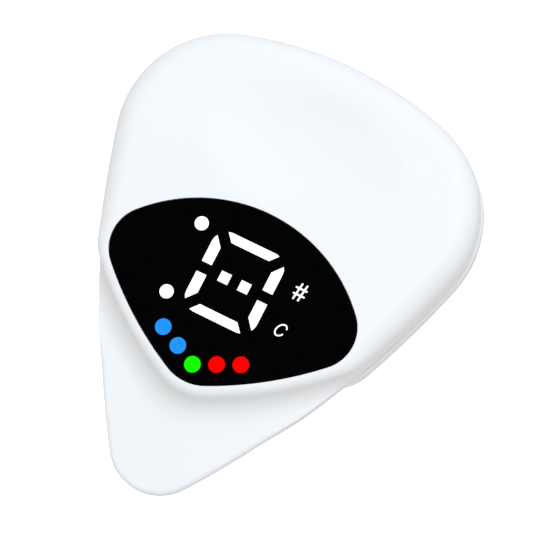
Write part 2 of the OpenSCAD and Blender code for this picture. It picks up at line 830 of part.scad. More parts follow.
module clip_arm() {
    rib_front = bend_start_y - rib_front_length;
    rib_back = hinge_y + rib_back_length;
    color(white) at_seam() difference() {
        union() {
            intersection() {
                arm_sheet();
                slab(arm_samples, 0, arm_top_z - arm_thickness - 1, 0);
            }
            intersection() {
                translate([0, 0, rib_height]) arm_sheet();
                for (side = [-1, 1])
                    translate([
                        side * (lug_inner + knuckle_thickness / 2) - knuckle_thickness / 2,
                        rib_front,
                        arm_top_z - bite
                    ])
                        cube([knuckle_thickness, rib_back - rib_front, press_gap]);
            }
            knuckle(lug_inner, arm_top_z - bite, lug_foot_front, lug_foot_back);
        }
        hinge_rod(pin_diameter / 2 + pin_gap, lug_inner + knuckle_thickness + 1);
        for (k = [0:groove_count - 1])
            translate([
                -body_width / 2,
                end_y - arm_end_inset - grip_from_end - k * groove_step,
                arm_top_z - arm_thickness - grip_radius + grip_depth
            ])
                rotate([0, 90, 0]) cylinder(r = grip_radius, h = body_width);
    }
}

// A rubber pad: the tip of an outline, with grooves across its gripping face
module jaw_pad(samples, inset, low, face_up) {
    pad_end = tip_y + arm_tip_inset + pad_length;
    difference() {
        translate([0, 0, low]) linear_extrude(pad_thickness) intersection() {
            polygon(inset_points(samples, inset));
            translate([-body_width, tip_y]) square([2 * body_width, pad_end - tip_y]);
        }
        for (k = [1:3])
            translate([
                -body_width / 2, pad_end - k * pad_length / 4, low + (face_up ? pad_thickness : 0)
            ])
                rotate([0, 90, 0]) cylinder(r = pad_groove_radius, h = body_width);
    }
}

module fixed_jaw_pad() {
    color("#3a3d42") at_seam() jaw_pad(plate_samples, fixed_pad_inset, -pad_thickness, false);
}

module moving_jaw_pad() {
    color("#3a3d42") at_seam() jaw_pad(arm_samples, moving_pad_inset, jaw_z, true);
}

module hinge_pin() {
    color("silver") at_seam() hinge_rod(pin_diameter / 2, ear_outer);
}

// The wire of one half of the torsion spring, round the hinge line as [x, y, z] from the pin.
// "drop" is the distance from the pin to the face that the leg's end lies against, and "up" is
// 1 for the face above the pin and -1 for the one below.
function spring_wire(drop, up) =
    let (
        tilt = asin((drop - wire_diameter / 2 - 0.05 - coil_radius) / leg_length),
        from = 90 + tilt,
        to = up > 0 ? 270 + 360 * half_turns : 90 + 360 * half_turns,
        pitch = wire_diameter + turn_gap,
        count = 20 * (half_turns + 1),
        coil = [
            for (k = [0:count])
            let (a = mix(from, to, k / count))
            [-up * pitch * (to - a) / 360, coil_radius * cos(a), up * coil_radius * sin(a)]
        ],
        leg = coil[0] + leg_length * [0, cos(tilt), up * sin(tilt)]
    )
    concat([leg], coil);

// A round wire along a path whose bends all lie near planes square to X
module wire(path) {
    sides = 8;
    last = len(path) - 1;
    rings = [
        for (k = [0:last])
        let (
            way = path[min(k + 1, last)] - path[max(k - 1, 0)],
            across = cross(way, [1, 0, 0]) / norm(cross(way, [1, 0, 0])),
            third = cross(across, way) / norm(way)
        )
        [
            for (i = [0:sides - 1])
            path[k] + wire_diameter / 2 * (cos(360 * i / sides) * across + sin(360 * i / sides) * third)
        ]
    ];
    skin(rings);
}

module spring_half(drop, up) {
    at_seam() translate([0, hinge_y, hinge_z]) wire(spring_wire(drop, up));
}

module spring_cover_half() {
    color("silver") spring_half(hinge_drop, 1);
}

module spring_arm_half() {
    color("silver") spring_half(press_gap - hinge_drop, -1);
}

// ---- display ----

// The digit: four side bars, the top and bottom bars, and the two dashes between them
module digit_shape() {
    half_w = digit_width / 2;
    half_h = digit_height / 2;
    low = bar_thickness / 2;
    for (x = [0, 1], y = [0, 1]) mirror([x, 0]) mirror([0, y]) polygon([
        [half_w - bar_thickness, low],
        [half_w, low],
        [half_w, low + side_bar_outer],
        [half_w - point_inset, low + side_bar_point],
        [half_w - bar_thickness, low + side_bar_inner]
    ]);
    for (y = [0, 1]) mirror([0, y]) polygon([
        [-end_bar_outer + 3 * bar_bevel, half_h],
        [end_bar_outer - 3 * bar_bevel, half_h],
        [end_bar_outer, half_h - bar_bevel],
        [end_bar_inner, half_h - end_bar_thickness],
        [-end_bar_inner, half_h - end_bar_thickness],
        [-end_bar_outer, half_h - bar_bevel]
    ]);
    for (side = [-1, 1]) translate([side * dash_size, 0]) square(dash_size, center = true);
}

module mode_dot_shape() {
    for (y = [upper_dot_y, -lower_dot_y])
        translate([-mode_dot_x, y]) circle(d = mode_dot_diameter);
}

// Sharp sign, leaning like a written one
module sharp_shape() {
    translate([sign_x, sharp_y]) for (side = [-0.5, 0.5]) {
        translate([side * sharp_step, 0]) rotate(-sharp_lean)
            square([sharp_stroke, sharp_height], center = true);
        translate([0, side * sharp_rise]) square([sharp_width, sharp_stroke], center = true);
    }
}

// Mode sign: a leaning open ring
module mode_shape() {
    turns = [30:12:330];
    function ring_point(turn, grow) = [
        (mode_sign_width / 2 + grow) * cos(turn) + mode_sign_lean * sin(turn),
        (mode_sign_height / 2 + grow) * sin(turn)
    ];
    translate([sign_x, -mode_sign_y]) polygon(concat(
        [for (turn = turns) ring_point(turn, mode_sign_stroke / 2)],
        [for (turn = turns) ring_point(360 - turn, -mode_sign_stroke / 2)]
    ));
}

// Meter dots, counted from the middle one at 0
module meter_shape(places) {
    for (k = places)
        translate([k * meter_step, meter_rise * abs(k) - meter_drop])
            circle(d = meter_dot_diameter);
}

// A legend that fills its pocket in the lens
module legend() {
    at_seam() translate([0, digit_y, face_z - legend_depth]) linear_extrude(legend_depth)
        children();
}

module all_legend_shapes() {
    digit_shape();
    mode_dot_shape();
    meter_shape([-2:2]);
}

module display_lens() {
    color(black) difference() {
        at_seam() slab(window_samples, fit_gap, lens_z, face_z);
        at_seam() translate([0, digit_y, face_z - legend_depth]) linear_extrude(1) {
            all_legend_shapes();
            sharp_shape();
            mode_shape();
        }
    }
}

module lens_tape() {
    color("#202226") at_seam() difference() {
        slab(window_samples, fit_gap, ledge_z, lens_z);
        slab(window_samples, ledge_width - 0.05, ledge_z - 1, lens_z + 1);
    }
}

module digit_bars() {
    color("white") legend() digit_shape();
}

module mode_dots() {
    color("white") legend() mode_dot_shape();
}

module sharp_mark() {
    color("white") legend() sharp_shape();
}

module mode_mark() {
    color("white") legend() mode_shape();
}

module flat_dots() {
    color("blue") legend() meter_shape([-2, -1]);
}

module tune_dot() {
    color("lime") legend() meter_shape([0]);
}

module sharp_dots() {
    color("red") legend() meter_shape([1, 2]);
}

// The shield: a block with a light well from the board up to each legend
module light_shield() {
    color("#e8e8e4") at_seam() difference() {
        slab(window_samples, ledge_width + fit_gap, board_top + 0.05, shield_top);
        translate([0, digit_y, board_top]) linear_extrude(shield_top) {
            all_legend_shapes();
            translate([sign_x, sharp_y]) circle(d = sharp_height + 2 * fit_gap);
            translate([sign_x, -mode_sign_y]) circle(d = mode_sign_height + mode_sign_stroke + 2 * fit_gap);
        }
    }
}

// One surface light on the board
module led(x, y, turn) {
    translate([x, digit_y + y, board_top]) rotate([0, 0, turn])
        translate([-chip_length / 2, -chip_width / 2, 0])
            cube([chip_length, chip_width, chip_width]);
}

module digit_leds() {
    bar_x = (digit_width - bar_thickness) / 2;
    bar_y = (bar_thickness + side_bar_inner) / 2;
    color("#ffe9a0") at_seam() {
        for (x = [-1, 1], y = [-1, 1]) led(x * bar_x, y * bar_y, 90);
        for (x = [-1, 1]) led(x * dash_size, 0, 0);
        for (x = [-1, 1], y = [-1, 1])
            led(x * end_bar_inner / 2, y * (digit_height - end_bar_thickness) / 2, 0);
        for (y = [upper_dot_y, -lower_dot_y]) led(-mode_dot_x, y, 0);
        led(sign_x, sharp_y, 0);
        led(sign_x, -mode_sign_y, 0);
    }
}

module meter_leds() {
    color("#ffd0a0") at_seam()
        for (k = [-2:2]) led(k * meter_step, meter_rise * abs(k) - meter_drop, 0);
}

// ---- board ----

module main_board() {
    color("#1f6b45") at_seam() difference() {
        slab(housing_samples, cover_wall + 0.4, board_height, board_top);
        screw_places() translate([0, 0, -1]) cylinder(d = screw_diameter + 0.4, h = 4);
    }
}

module controller_chip() {
    color("#24262a") at_seam() translate([-controller_size / 2, dish_y - 5.5, board_top])
        cube([controller_size, controller_size, controller_thickness]);
}

module charge_chip() {
    color("#24262a") at_seam() translate([7, dish_y + 1.5, board_top])
        cube([charger_length, charger_width, charger_thickness]);
}

module board_passives() {
    color("#b89b6a") at_seam() translate([0, dish_y, board_top])
        for (k = [0:5]) {
            translate([cross_row_step * k - 8, cross_row_y, 0])
                cube([chip_length, chip_width, chip_width]);
            translate([-left_row_x, row_step * k - 6, 0])
                cube([chip_length, chip_width, chip_width]);
            translate([right_row_x, row_step * k - 7, 0])
                cube([chip_length, chip_width, chip_width]);
        }
}

// A flat tube with round edges, lying along Y behind its mouth
module flat_tube(width, height, depth) {
    half = (width - height) / 2;
    rotate([90, 0, 0]) {
        for (side = [-1, 1]) translate([side * half, 0, 0]) cylinder(d = height, h = depth);
        translate([-half, -height / 2, 0]) cube([2 * half, height, depth]);
    }
}

module charging_socket() {
    color("silver") at_seam() translate([0, socket_front_y, socket_z]) difference() {
        flat_tube(socket_width, socket_height, socket_depth);
        translate([0, socket_back, 0])
            flat_tube(socket_width - 2 * socket_wall, socket_height - 2 * socket_wall, socket_depth);
    }
}

module socket_tongue() {
    back_y = socket_front_y - socket_depth + socket_back;
    color("#202226") at_seam()
        translate([-tongue_width / 2, back_y, socket_z - tongue_thickness / 2])
            cube([tongue_width, tongue_length, tongue_thickness]);
}

// ---- button ----

module power_button() {
    body_depth = end_radius + cover_proud + button_rise - flange_inner;
    color(grey) at_seam() button_place() {
        translate([-button_width / 2, flange_inner, button_z - button_height / 2])
            cube([button_width, body_depth, button_height]);
        translate([-flange_half, flange_inner, button_z - button_height / 2])
            cube([2 * flange_half, flange_thickness, button_height]);
    }
}

module switch_plunger() {
    color("#d8d4c8") at_seam() button_place()
        translate([0, flange_inner, button_z]) rotate([90, 0, 0])
            cylinder(d = plunger_diameter, h = switch_gap + plunger_reach);
}

module switch_body() {
    low = button_z - switch_drop;
    color("#2a2c30") at_seam() button_place() difference() {
        translate([-switch_width / 2, switch_front - switch_depth, low])
            cube([switch_width, switch_depth, board_height - low]);
        translate([0, switch_front + 1, button_z]) rotate([90, 0, 0])
            cylinder(d = plunger_diameter + 2 * slide_gap, h = 2.4);
    }
}

// ---- cell and sensor ----

tape_top = floor_z + cell_tape_thickness;
cell_y = hinge_y - cell_from_hinge;

module battery_tape() {
    color("#f0e070") at_seam()
        translate([cell_tape_inset - cell_width / 2, cell_y + cell_tape_inset - cell_length / 2, floor_z])
            cube([
                cell_width - 2 * cell_tape_inset, cell_length - 2 * cell_tape_inset, cell_tape_thickness
            ]);
}

module battery_cell() {
    color("#c9ccd1") at_seam() translate([0, cell_y, tape_top])
        linear_extrude(cell_thickness) {
            square([cell_width, cell_length - 2 * cell_corner], center = true);
            square([cell_width - 2 * cell_corner, cell_length], center = true);
            for (x = [-1, 1], y = [-1, 1])
                translate([x * (cell_width / 2 - cell_corner), y * (cell_length / 2 - cell_corner)])
                    circle(r = cell_corner);
        }
}

module battery_tabs() {
    low = tape_top + tab_rise;
    color("silver") at_seam()
        for (side = [-1, 1])
            translate([side * tab_x - tab_width / 2, cell_y + cell_length / 2, low])
                cube([tab_width, tab_thickness, board_height - low]);
}

sensor_y = end_y - sensor_from_end;

module sensor_disc() {
    color("gold") at_seam() translate([0, sensor_y, floor_z])
        cylinder(d = sensor_diameter, h = disc_thickness);
}

module sensor_ceramic() {
    color("#efe9da") at_seam() translate([0, sensor_y, floor_z + disc_thickness])
        cylinder(d = ceramic_diameter, h = ceramic_thickness);
}

module sensor_contacts() {
    disc_top = floor_z + disc_thickness;
    ceramic_top = disc_top + ceramic_thickness;
    color("gold") at_seam() {
        translate([0, sensor_y, ceramic_top])
            cylinder(d = contact_diameter, h = board_height - ceramic_top);
        translate([contact_x, sensor_y, disc_top])
            cylinder(d = contact_diameter, h = board_height - disc_top);
    }
}

module housing_screws() {
    color("silver") at_seam() screw_places() difference() {
        union() {
            translate([0, 0, head_seat_z - head_height]) cylinder(d = head_diameter, h = head_height);
            translate([0, 0, head_seat_z - bite])
                cylinder(d = core_diameter, h = board_top + screw_reach - head_seat_z + bite);
        }
        for (turn = [0, 90]) rotate([0, 0, turn])
            translate([-recess_width / 2, -recess_slot / 2, head_seat_z - head_height - 1])
                cube([recess_width, recess_slot, recess_depth + 1]);
    }
}

front_shell();
rear_cover();
clip_arm();
fixed_jaw_pad();
moving_jaw_pad();
hinge_pin();
spring_cover_half();
spring_arm_half();
display_lens();
lens_tape();
digit_bars();
mode_dots();
sharp_mark();
mode_mark();
flat_dots();
tune_dot();
sharp_dots();
light_shield();
digit_leds();
meter_leds();
main_board();
controller_chip();
charge_chip();
board_passives();
charging_socket();
socket_tongue();
switch_body();
switch_plunger();
power_button();
battery_cell();
battery_tabs();
battery_tape();
sensor_disc();
sensor_ceramic();
sensor_contacts();
housing_screws();
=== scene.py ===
"""Looks of the clip-on tuner: a pick-shaped housing with a lit display and a spring clip behind it.

Everything is in metres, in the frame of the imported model: +Z is the way the display faces, +Y runs
from the jaw tip to the wide end, and x = 0 is the plane of symmetry. Heights "above the seam" are
counted from the joint between the front shell and the rear cover.
"""

import logging
import math
from dataclasses import dataclass
from enum import Enum
from functools import partial
from typing import Callable, Iterable, Sequence

import bmesh
import bpy
import numpy as np
from mathutils import Matrix, Vector
from mathutils.geometry import delaunay_2d_cdt


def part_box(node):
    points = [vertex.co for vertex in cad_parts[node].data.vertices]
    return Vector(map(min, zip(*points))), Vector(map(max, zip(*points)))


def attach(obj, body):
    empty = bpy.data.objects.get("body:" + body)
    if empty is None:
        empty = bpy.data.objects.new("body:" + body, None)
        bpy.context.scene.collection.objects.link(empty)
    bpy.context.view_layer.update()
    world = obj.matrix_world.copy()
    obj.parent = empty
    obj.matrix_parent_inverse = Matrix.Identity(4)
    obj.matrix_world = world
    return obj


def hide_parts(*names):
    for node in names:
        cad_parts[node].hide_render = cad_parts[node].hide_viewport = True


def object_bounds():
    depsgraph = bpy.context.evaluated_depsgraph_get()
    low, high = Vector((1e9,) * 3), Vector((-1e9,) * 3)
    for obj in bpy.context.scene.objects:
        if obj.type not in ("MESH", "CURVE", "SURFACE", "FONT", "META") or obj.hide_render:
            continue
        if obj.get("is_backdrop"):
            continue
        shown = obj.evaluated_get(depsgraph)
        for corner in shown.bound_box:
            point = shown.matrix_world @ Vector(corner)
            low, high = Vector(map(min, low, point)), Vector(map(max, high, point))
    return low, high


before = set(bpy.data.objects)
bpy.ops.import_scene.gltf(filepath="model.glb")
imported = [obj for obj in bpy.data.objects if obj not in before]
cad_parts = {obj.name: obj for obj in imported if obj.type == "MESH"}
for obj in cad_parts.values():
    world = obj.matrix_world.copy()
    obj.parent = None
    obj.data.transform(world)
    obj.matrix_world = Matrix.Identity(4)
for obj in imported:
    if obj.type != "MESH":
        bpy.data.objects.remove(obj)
cad_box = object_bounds()

MM = 0.001
MERGE = 0.003 * MM
SUPPORT = 0.05 * MM
TINY = 1e-6
SHARP = math.radians(34)
QUARTER = math.pi / 2
SCREW_SIDES = 40

log = logging.getLogger("clip_on_tuner")

Points = np.ndarray
Lift = Callable[[Points, float], Points]


class Body(Enum):
    """The bodies that pieces ride on."""

    HOUSING = "housing"
    CLIP = "clip"
    BUTTON = "button"


class Solve(Enum):
    """What a solid does to the one that it meets."""

    JOIN = "UNION"
    TAKE = "DIFFERENCE"


# ---------------------------------------------------------------- plane figures


@dataclass(frozen=True)
class Arc:
    """A circle that part of an outline follows."""

    x: float
    y: float
    radius: float

    def shrunk(self, by: float) -> "Arc":
        """The same centre with a smaller radius."""
        return Arc(self.x, self.y, self.radius - by)


def meeting_point(a: Arc, b: Arc, side: int) -> tuple[float, float]:
    """Finds where two circles cross.

    Args:
        a: the first circle.
        b: the second circle.
        side: 1 for the crossing on the left of the way from a to b, -1 for the other one.

    Returns:
        The x and y of the crossing.
    """
    span = math.hypot(b.x - a.x, b.y - a.y)
    along = ((b.x - a.x) / span, (b.y - a.y) / span)
    foot = (a.radius**2 - b.radius**2 + span**2) / (2 * span)
    rise = side * math.sqrt(a.radius**2 - foot**2)
    return a.x + along[0] * foot - along[1] * rise, a.y + along[1] * foot + along[0] * rise


def join_angle(a: Arc, b: Arc) -> float:
    """The angle, seen from either centre, at which two tangent circles touch."""
    small, big = (a, b) if a.radius < b.radius else (b, a)
    return math.atan2(small.y - big.y, small.x - big.x)


class Outline:
    """A closed outline, the same on both sides of x = 0, made of arcs that run into each other."""

    def __init__(self, arcs: Sequence[Arc], counts: Sequence[int], stops: Sequence[float]) -> None:
        """Samples the outline.

        Args:
            arcs: the arcs of the right half, from the jaw end to the wide end.
            counts: how many steps each arc takes.
            stops: the angle at which each arc hands over to the next.
        """
        limits = [-QUARTER, *stops, QUARTER]
        right = [
            (arc.x, arc.y, arc.radius, start + (end - start) * k / count)
            for arc, count, start, end in zip(arcs, counts, limits, limits[1:])
            for k in range(count)
        ]
        last = arcs[-1]
        left = [(-x, y, radius, math.pi - angle) for x, y, radius, angle in reversed(right[1:])]
        self.samples = np.array(right + [(last.x, last.y, last.radius, QUARTER)] + left)

    def points(self, inset: float | Points = 0.0) -> Points:
        """The outline moved inwards by an inset, which may differ from point to point."""
        x, y, radius, angle = self.samples.T
        reach = radius - inset
        return np.stack([x + reach * np.cos(angle), y + reach * np.sin(angle)], 1)

    def ring(self, inset: float | Points, z: float | Points) -> Points:
        """The outline at an inset and a height."""
        return at_height(self.points(inset), z)


def tangent_outline(arcs: Sequence[Arc], counts: Sequence[int]) -> Outline:
    """An outline whose arcs hand over where they touch."""
    return Outline(arcs, counts, [join_angle(a, b) for a, b in zip(arcs, arcs[1:])])


def pick_arcs(lowest: float, length: float, width: float, radii: Sequence[float]) -> list[Arc]:
    """Works out the arcs of a guitar-pick outline.

    Args:
        lowest: the y of its narrow tip.
        length: its length.
        width: its width.
        radii: the radii of its tip, side, shoulder and wide end.

    Returns:
        The four arcs of the right half.
    """
    tip_radius, side_radius, shoulder_radius, end_radius = radii
    tip = Arc(0.0, lowest + tip_radius, tip_radius)
    end = Arc(0.0, lowest + length - end_radius, end_radius)
    shoulder_x = width / 2 - shoulder_radius
    shoulder_y = end.y + math.sqrt((end_radius - shoulder_radius) ** 2 - shoulder_x**2)
    shoulder = Arc(shoulder_x, shoulder_y, shoulder_radius)
    side = meeting_point(
        Arc(tip.x, tip.y, side_radius - tip_radius),
        Arc(shoulder.x, shoulder.y, side_radius - shoulder_radius),
        1,
    )
    return [tip, Arc(*side, side_radius), shoulder, end]


def at_height(plan: Points, z: float | Points) -> Points:
    """Plan points lifted to a height."""
    return np.column_stack([plan, np.broadcast_to(z, len(plan))])


def circle(x: float, y: float, radius: float, count: int = 64) -> Points:
    """Points round a circle."""
    angle = np.linspace(0, 2 * math.pi, count, endpoint=False)
    return np.stack([x + radius * np.cos(angle), y + radius * np.sin(angle)], 1)


def screw_ring(x: float, y: float, radius: float, z: float) -> Points:
    """A level circle round a screw."""
    return at_height(circle(x, y, radius, SCREW_SIDES), z)


def square_to_y(loop: Points, y: float) -> Points:
    """A loop drawn in x and z, placed square to Y."""
    return np.column_stack([loop[:, 0], np.full(len(loop), y), loop[:, 1]])


def slot_loop(half: float, radius: float, z: float, count: int) -> Points:
    """The section of a flat slot, in x and z.

    Args:
        half: the distance of its round ends' centres from x = 0.
        radius: the radius of its ends.
        z: the height of its middle.
        count: how many points each end has.

    Returns:
        The loop's points, counter-clockwise.
    """
    turns = np.linspace(-QUARTER, QUARTER, count)
    right = np.stack([half + radius * np.cos(turns), z + radius * np.sin(turns)], 1)
    return np.vstack([right, right[::-1] * [-1, 1]])


def offset_loop(loop: Points, inset: float) -> Points:
    """Moves each side of a counter-clockwise loop inwards.

    Args:
        loop: the loop's corners.
        inset: how far its sides move.

    Returns:
        As many corners, each on the two moved sides.
    """
    before = loop - np.roll(loop, 1, axis=0)
    after = np.roll(loop, -1, axis=0) - loop
    before /= np.linalg.norm(before, axis=1)[:, None]
    after /= np.linalg.norm(after, axis=1)[:, None]
    inward = np.stack([-before[:, 1] - after[:, 1], before[:, 0] + after[:, 0]], 1)
    inward /= np.linalg.norm(inward, axis=1)[:, None]
    half_turn = np.clip(inward[:, 0] * -after[:, 1] + inward[:, 1] * after[:, 0], 0.3, 1)
    return loop + inward * (inset / half_turn)[:, None]


def soft_corners(corners: Sequence[tuple[float, float, float]], steps: int = 6) -> Points:
    """Rounds a polygon's corners.

    Args:
        corners: x, y and how far back from the corner its rounding starts.
        steps: how many steps each rounding takes.

    Returns:
        The points of the softened polygon.
    """
    size = len(corners)
    made = []
    for i, (x, y, cut) in enumerate(corners):
        here = np.array([x, y])
        ends = []
        for other in (corners[i - 1], corners[(i + 1) % size]):
            way = np.array(other[:2]) - here
            ends.append(here + way * min(cut / np.linalg.norm(way), 0.48))
        for t in np.linspace(0, 1, steps if cut > 0 else 1):
            made.append((1 - t) ** 2 * ends[0] + 2 * t * (1 - t) * here + t**2 * ends[1])
    return np.array(made)


def stroke(path: Points, width: float, cap_steps: int = 7) -> Points:
    """The outline of a pen stroke with round ends.

    Args:
        path: the points that the pen follows.
        width: the width of the stroke.
        cap_steps: how many steps each round end takes.

    Returns:
        The outline's points, counter-clockwise.
    """
    way = np.gradient(path, axis=0)
    way /= np.linalg.norm(way, axis=1)[:, None]
    side = np.stack([way[:, 1], -way[:, 0]], 1) * width / 2
    caps = []
    for middle, start in ((path[-1], side[-1]), (path[0], -side[0])):
        turns = np.linspace(0, math.pi, cap_steps)[1:-1, None]
        ahead = np.array([-start[1], start[0]])
        caps.append(middle + start * np.cos(turns) + ahead * np.sin(turns))
    return np.vstack([path + side, caps[0], (path - side)[::-1], caps[1]])


def inside(points: Points, loop: Points) -> Points:
    """Tells which plan points lie inside a closed loop."""
    x, y = points[:, 0][:, None], points[:, 1][:, None]
    ax, ay = loop[:, 0], loop[:, 1]
    bx, by = np.roll(ax, -1), np.roll(ay, -1)
    level = (ay > y) != (by > y)
    rise = np.where(by == ay, 1.0, by - ay)
    return (level & (x < ax + (y - ay) * (bx - ax) / rise)).sum(axis=1) % 2 == 1


def hex_grid(low: Points, high: Points, step: float) -> Points:
    """Points in staggered rows that cover a rectangle."""
    made = []
    for k, y in enumerate(np.arange(low[1], high[1], step * math.sqrt(3) / 2)):
        x = np.arange(low[0] + (k % 2) * step / 2, high[0], step)
        made.append(np.stack([x, np.full_like(x, y)], 1))
    return np.vstack(made)


def loop_edges(loops: Iterable[Sequence]) -> list[tuple[int, int]]:
    """Pairs of neighbours round each of some loops, whose points are numbered in a row."""
    edges: list[tuple[int, int]] = []
    for loop in loops:
        start, size = len(edges), len(loop)
        edges += [(start + k, start + (k + 1) % size) for k in range(size)]
    return edges


def centres(plan: Points, triangles: Sequence[tuple[int, ...]]) -> Points:
    """The middle of each triangle of a plan."""
    return np.array([plan[list(t)].mean(axis=0) for t in triangles])


def triangulate(
    points: Points, edges: Sequence[tuple[int, int]]
) -> tuple[Points, list[tuple[int, ...]], list[list[int]]]:
    """Joins plan points into triangles that keep the given edges.

    Args:
        points: the plan points.
        edges: pairs of points that stay joined.

    Returns:
        The points, the triangles, and for each point the given points that it stands for.
    """
    scaled = [Vector((float(p[0]) / MM, float(p[1]) / MM)) for p in points]
    made, _, faces, origin, _, _ = delaunay_2d_cdt(scaled, list(edges), [], 0, 1e-6)
    return np.array([(v.x * MM, v.y * MM) for v in made]), [tuple(f) for f in faces], origin


# ---------------------------------------------------------------- solids


class Shape:
    """Points and faces that become one mesh."""

    def __init__(self) -> None:
        """Starts with nothing."""
        self.points: list[tuple[float, float, float]] = []
        self.faces: list[tuple[int, ...]] = []

    def ring(self, points: Points) -> range:
        """Adds points and returns their numbers."""
        first = len(self.points)
        self.points.extend(map(tuple, points))
        return range(first, len(self.points))

    def bridge(self, low: Sequence[int], high: Sequence[int]) -> None:
        """Joins two rings of one length with a band of quads."""
        for i in range(len(low)):
            j = (i + 1) % len(low)
            self.faces.append((low[i], low[j], high[j], high[i]))

    def stack(self, rings: Iterable[Points], start: range | None = None) -> range:
        """Adds rings, each joined to the last.

        Args:
            rings: the rings' points, all of one length.
            start: a ring already there, which the first one joins.

        Returns:
            The numbers of the last ring.
        """
        last = start
        for points in rings:
            ring = self.ring(points)
            if last is not None:
                self.bridge(last, ring)
            last = ring
        return last

    def loft(self, rings: Sequence[Points]) -> None:
        """Adds rings, each joined to the last, with a face over each end."""
        first = self.ring(rings[0])
        last = self.stack(rings[1:], first)
        self.faces += [tuple(first), tuple(last)]

    def fill(
        self,
        outer: Sequence[int],
        holes: Sequence[Sequence[int]] = (),
        axes: tuple[int, int] = (0, 1),
        extra: Points | None = None,
        clear: float = 0.0,
    ) -> None:
        """Fills the space between a loop and the holes in it with triangles.

        Args:
            outer: the numbers of the loop's points.
            holes: the same for each hole.
            axes: the two directions of the plane in which the loops are seen.
            extra: points in space that the face also passes through, where they lie inside.
            clear: how far the extra points stay from the loops.
        """
        loops = [list(outer), *map(list, holes)]
        ids = [i for loop in loops for i in loop]
        plans = [np.array([self.points[i] for i in loop])[:, axes] for loop in loops]
        flat = np.vstack(plans)

        def between(points: Points) -> Points:
            """Tells which points lie between the loop and its holes."""
            kept = inside(points, plans[0])
            for plan in plans[1:]:
                kept &= ~inside(points, plan)
            return kept

        if extra is not None:
            kept = extra[between(extra[:, axes])]
            away = [np.min(np.hypot(*(flat - point).T)) for point in kept[:, axes]]
            chosen = kept[np.array(away) > clear]
            ids += self.ring(chosen)
            flat = np.vstack([flat, chosen[:, axes]])
        made, triangles, origin = triangulate(flat, loop_edges(loops))
        for triangle, kept in zip(triangles, between(centres(made, triangles))):
            if kept:
                self.faces.append(tuple(ids[origin[v][0]] for v in triangle))

    def piece(self, name: str) -> bpy.types.Object:
        """Makes the mesh and its object.

        Args:
            name: the object's name.

        Returns:
            The object, with smooth faces and sharp corners.
        """
        mesh = bpy.data.meshes.new(name)
        mesh.from_pydata(self.points, [], self.faces)
        clean(mesh)
        return put_in_scene(name, mesh)


def put_in_scene(name: str, data: bpy.types.ID) -> bpy.types.Object:
    """Makes an object and links it to the scene."""
    made = bpy.data.objects.new(name, data)
    bpy.context.scene.collection.objects.link(made)
    return made


def clean(mesh: bpy.types.Mesh) -> None:
    """Welds a mesh, turns its faces outwards and marks its sharp corners."""
    work = bmesh.new()
    work.from_mesh(mesh)
    bmesh.ops.remove_doubles(work, verts=work.verts, dist=MERGE)
    bmesh.ops.dissolve_degenerate(work, edges=work.edges, dist=MERGE / 10)
    bmesh.ops.recalc_face_normals(work, faces=work.faces)
    work.to_mesh(mesh)
    work.free()
    mesh.shade_smooth()
    mesh.set_sharp_from_angle(angle=SHARP)


def solve(piece: bpy.types.Object, tools: Sequence[bpy.types.Object], how: Solve) -> None:
    """Joins solids to a piece or takes them away from it.

    Args:
        piece: the piece that changes.
        tools: the solids, which are used up.
        how: whether they are joined or taken away.
    """
    for tool in tools:
        step = piece.modifiers.new(how.name.lower(), "BOOLEAN")
        step.operation = how.value
        step.solver = "EXACT"
        step.object = tool
    view = bpy.context.evaluated_depsgraph_get()
    mesh = bpy.data.meshes.new_from_object(piece.evaluated_get(view))
    piece.modifiers.clear()
    mesh.name = piece.name
    piece.data = mesh
    clean(mesh)
    for tool in tools:
        bpy.data.objects.remove(tool)


def rim_rounds(
    thickness: float, rounds: tuple[float, float], steps: int = 6
) -> list[tuple[float, float]]:
    """Insets and heights round the rim of a plate.

    Args:
        thickness: the plate's thickness.
        rounds: the rounding of its low and its high edge.
        steps: how many steps each rounding takes.

    Returns:
        Pairs of inset and height, from the low face to the high one.
    """
    turns = [QUARTER * k / steps for k in range(steps + 1)]
    low, high = rounds
    made = [(low * (1 - math.sin(a)), low * (1 - math.cos(a))) for a in turns]
    made += [(high * (1 - math.cos(a)), thickness - high * (1 - math.sin(a))) for a in turns]
    return made


def plate(
    edge: Callable[[float], Points],
    thickness: float,
    rounds: tuple[float, float],
    lift: Lift,
    inner: Points | None = None,
    clear: float = 0.3 * MM,
) -> Shape:
    """A plate with a rounded rim, whose faces may curve.

    Args:
        edge: gives the plan outline at an inset.
        thickness: the plate's thickness.
        rounds: the rounding of its low and its high edge.
        lift: places plan points at a height in the plate.
        inner: plan points inside its faces, where they curve.
        clear: how far those stay from the rim.

    Returns:
        The closed shape.
    """
    shape = Shape()
    rims = rim_rounds(thickness, rounds)
    rims = [(rims[0][0] + SUPPORT, 0.0), *rims, (rims[-1][0] + SUPPORT, thickness)]
    first = shape.ring(lift(edge(rims[0][0]), rims[0][1]))
    last = shape.stack([lift(edge(inset), height) for inset, height in rims[1:]], first)
    for ring, height in ((first, 0.0), (last, thickness)):
        shape.fill(ring, extra=None if inner is None else lift(inner, height), clear=clear)
    return shape


def flat_lift(z: float) -> Lift:
    """Places plan points level, counted from a height."""
    return lambda plan, height: at_height(plan, z + height)


def lathe(profile: Sequence[tuple[float, float]], to_space: Matrix, sides: int = 48) -> Shape:
    """Turns a profile about an axis.

    Args:
        profile: pairs of radius and height along the axis, with radius 0 at both ends.
        to_space: carries the axis, drawn along Z, to where it lies.
        sides: how many sides a turn has.

    Returns:
        The closed shape.
    """
    shape = Shape()
    rings = [at_height(circle(0, 0, max(r, TINY / 10), sides), height) for r, height in profile]
    turn, shift = np.array(to_space.to_3x3()), np.array(to_space.translation)
    shape.stack([ring @ turn.T + shift for ring in rings])
    return shape


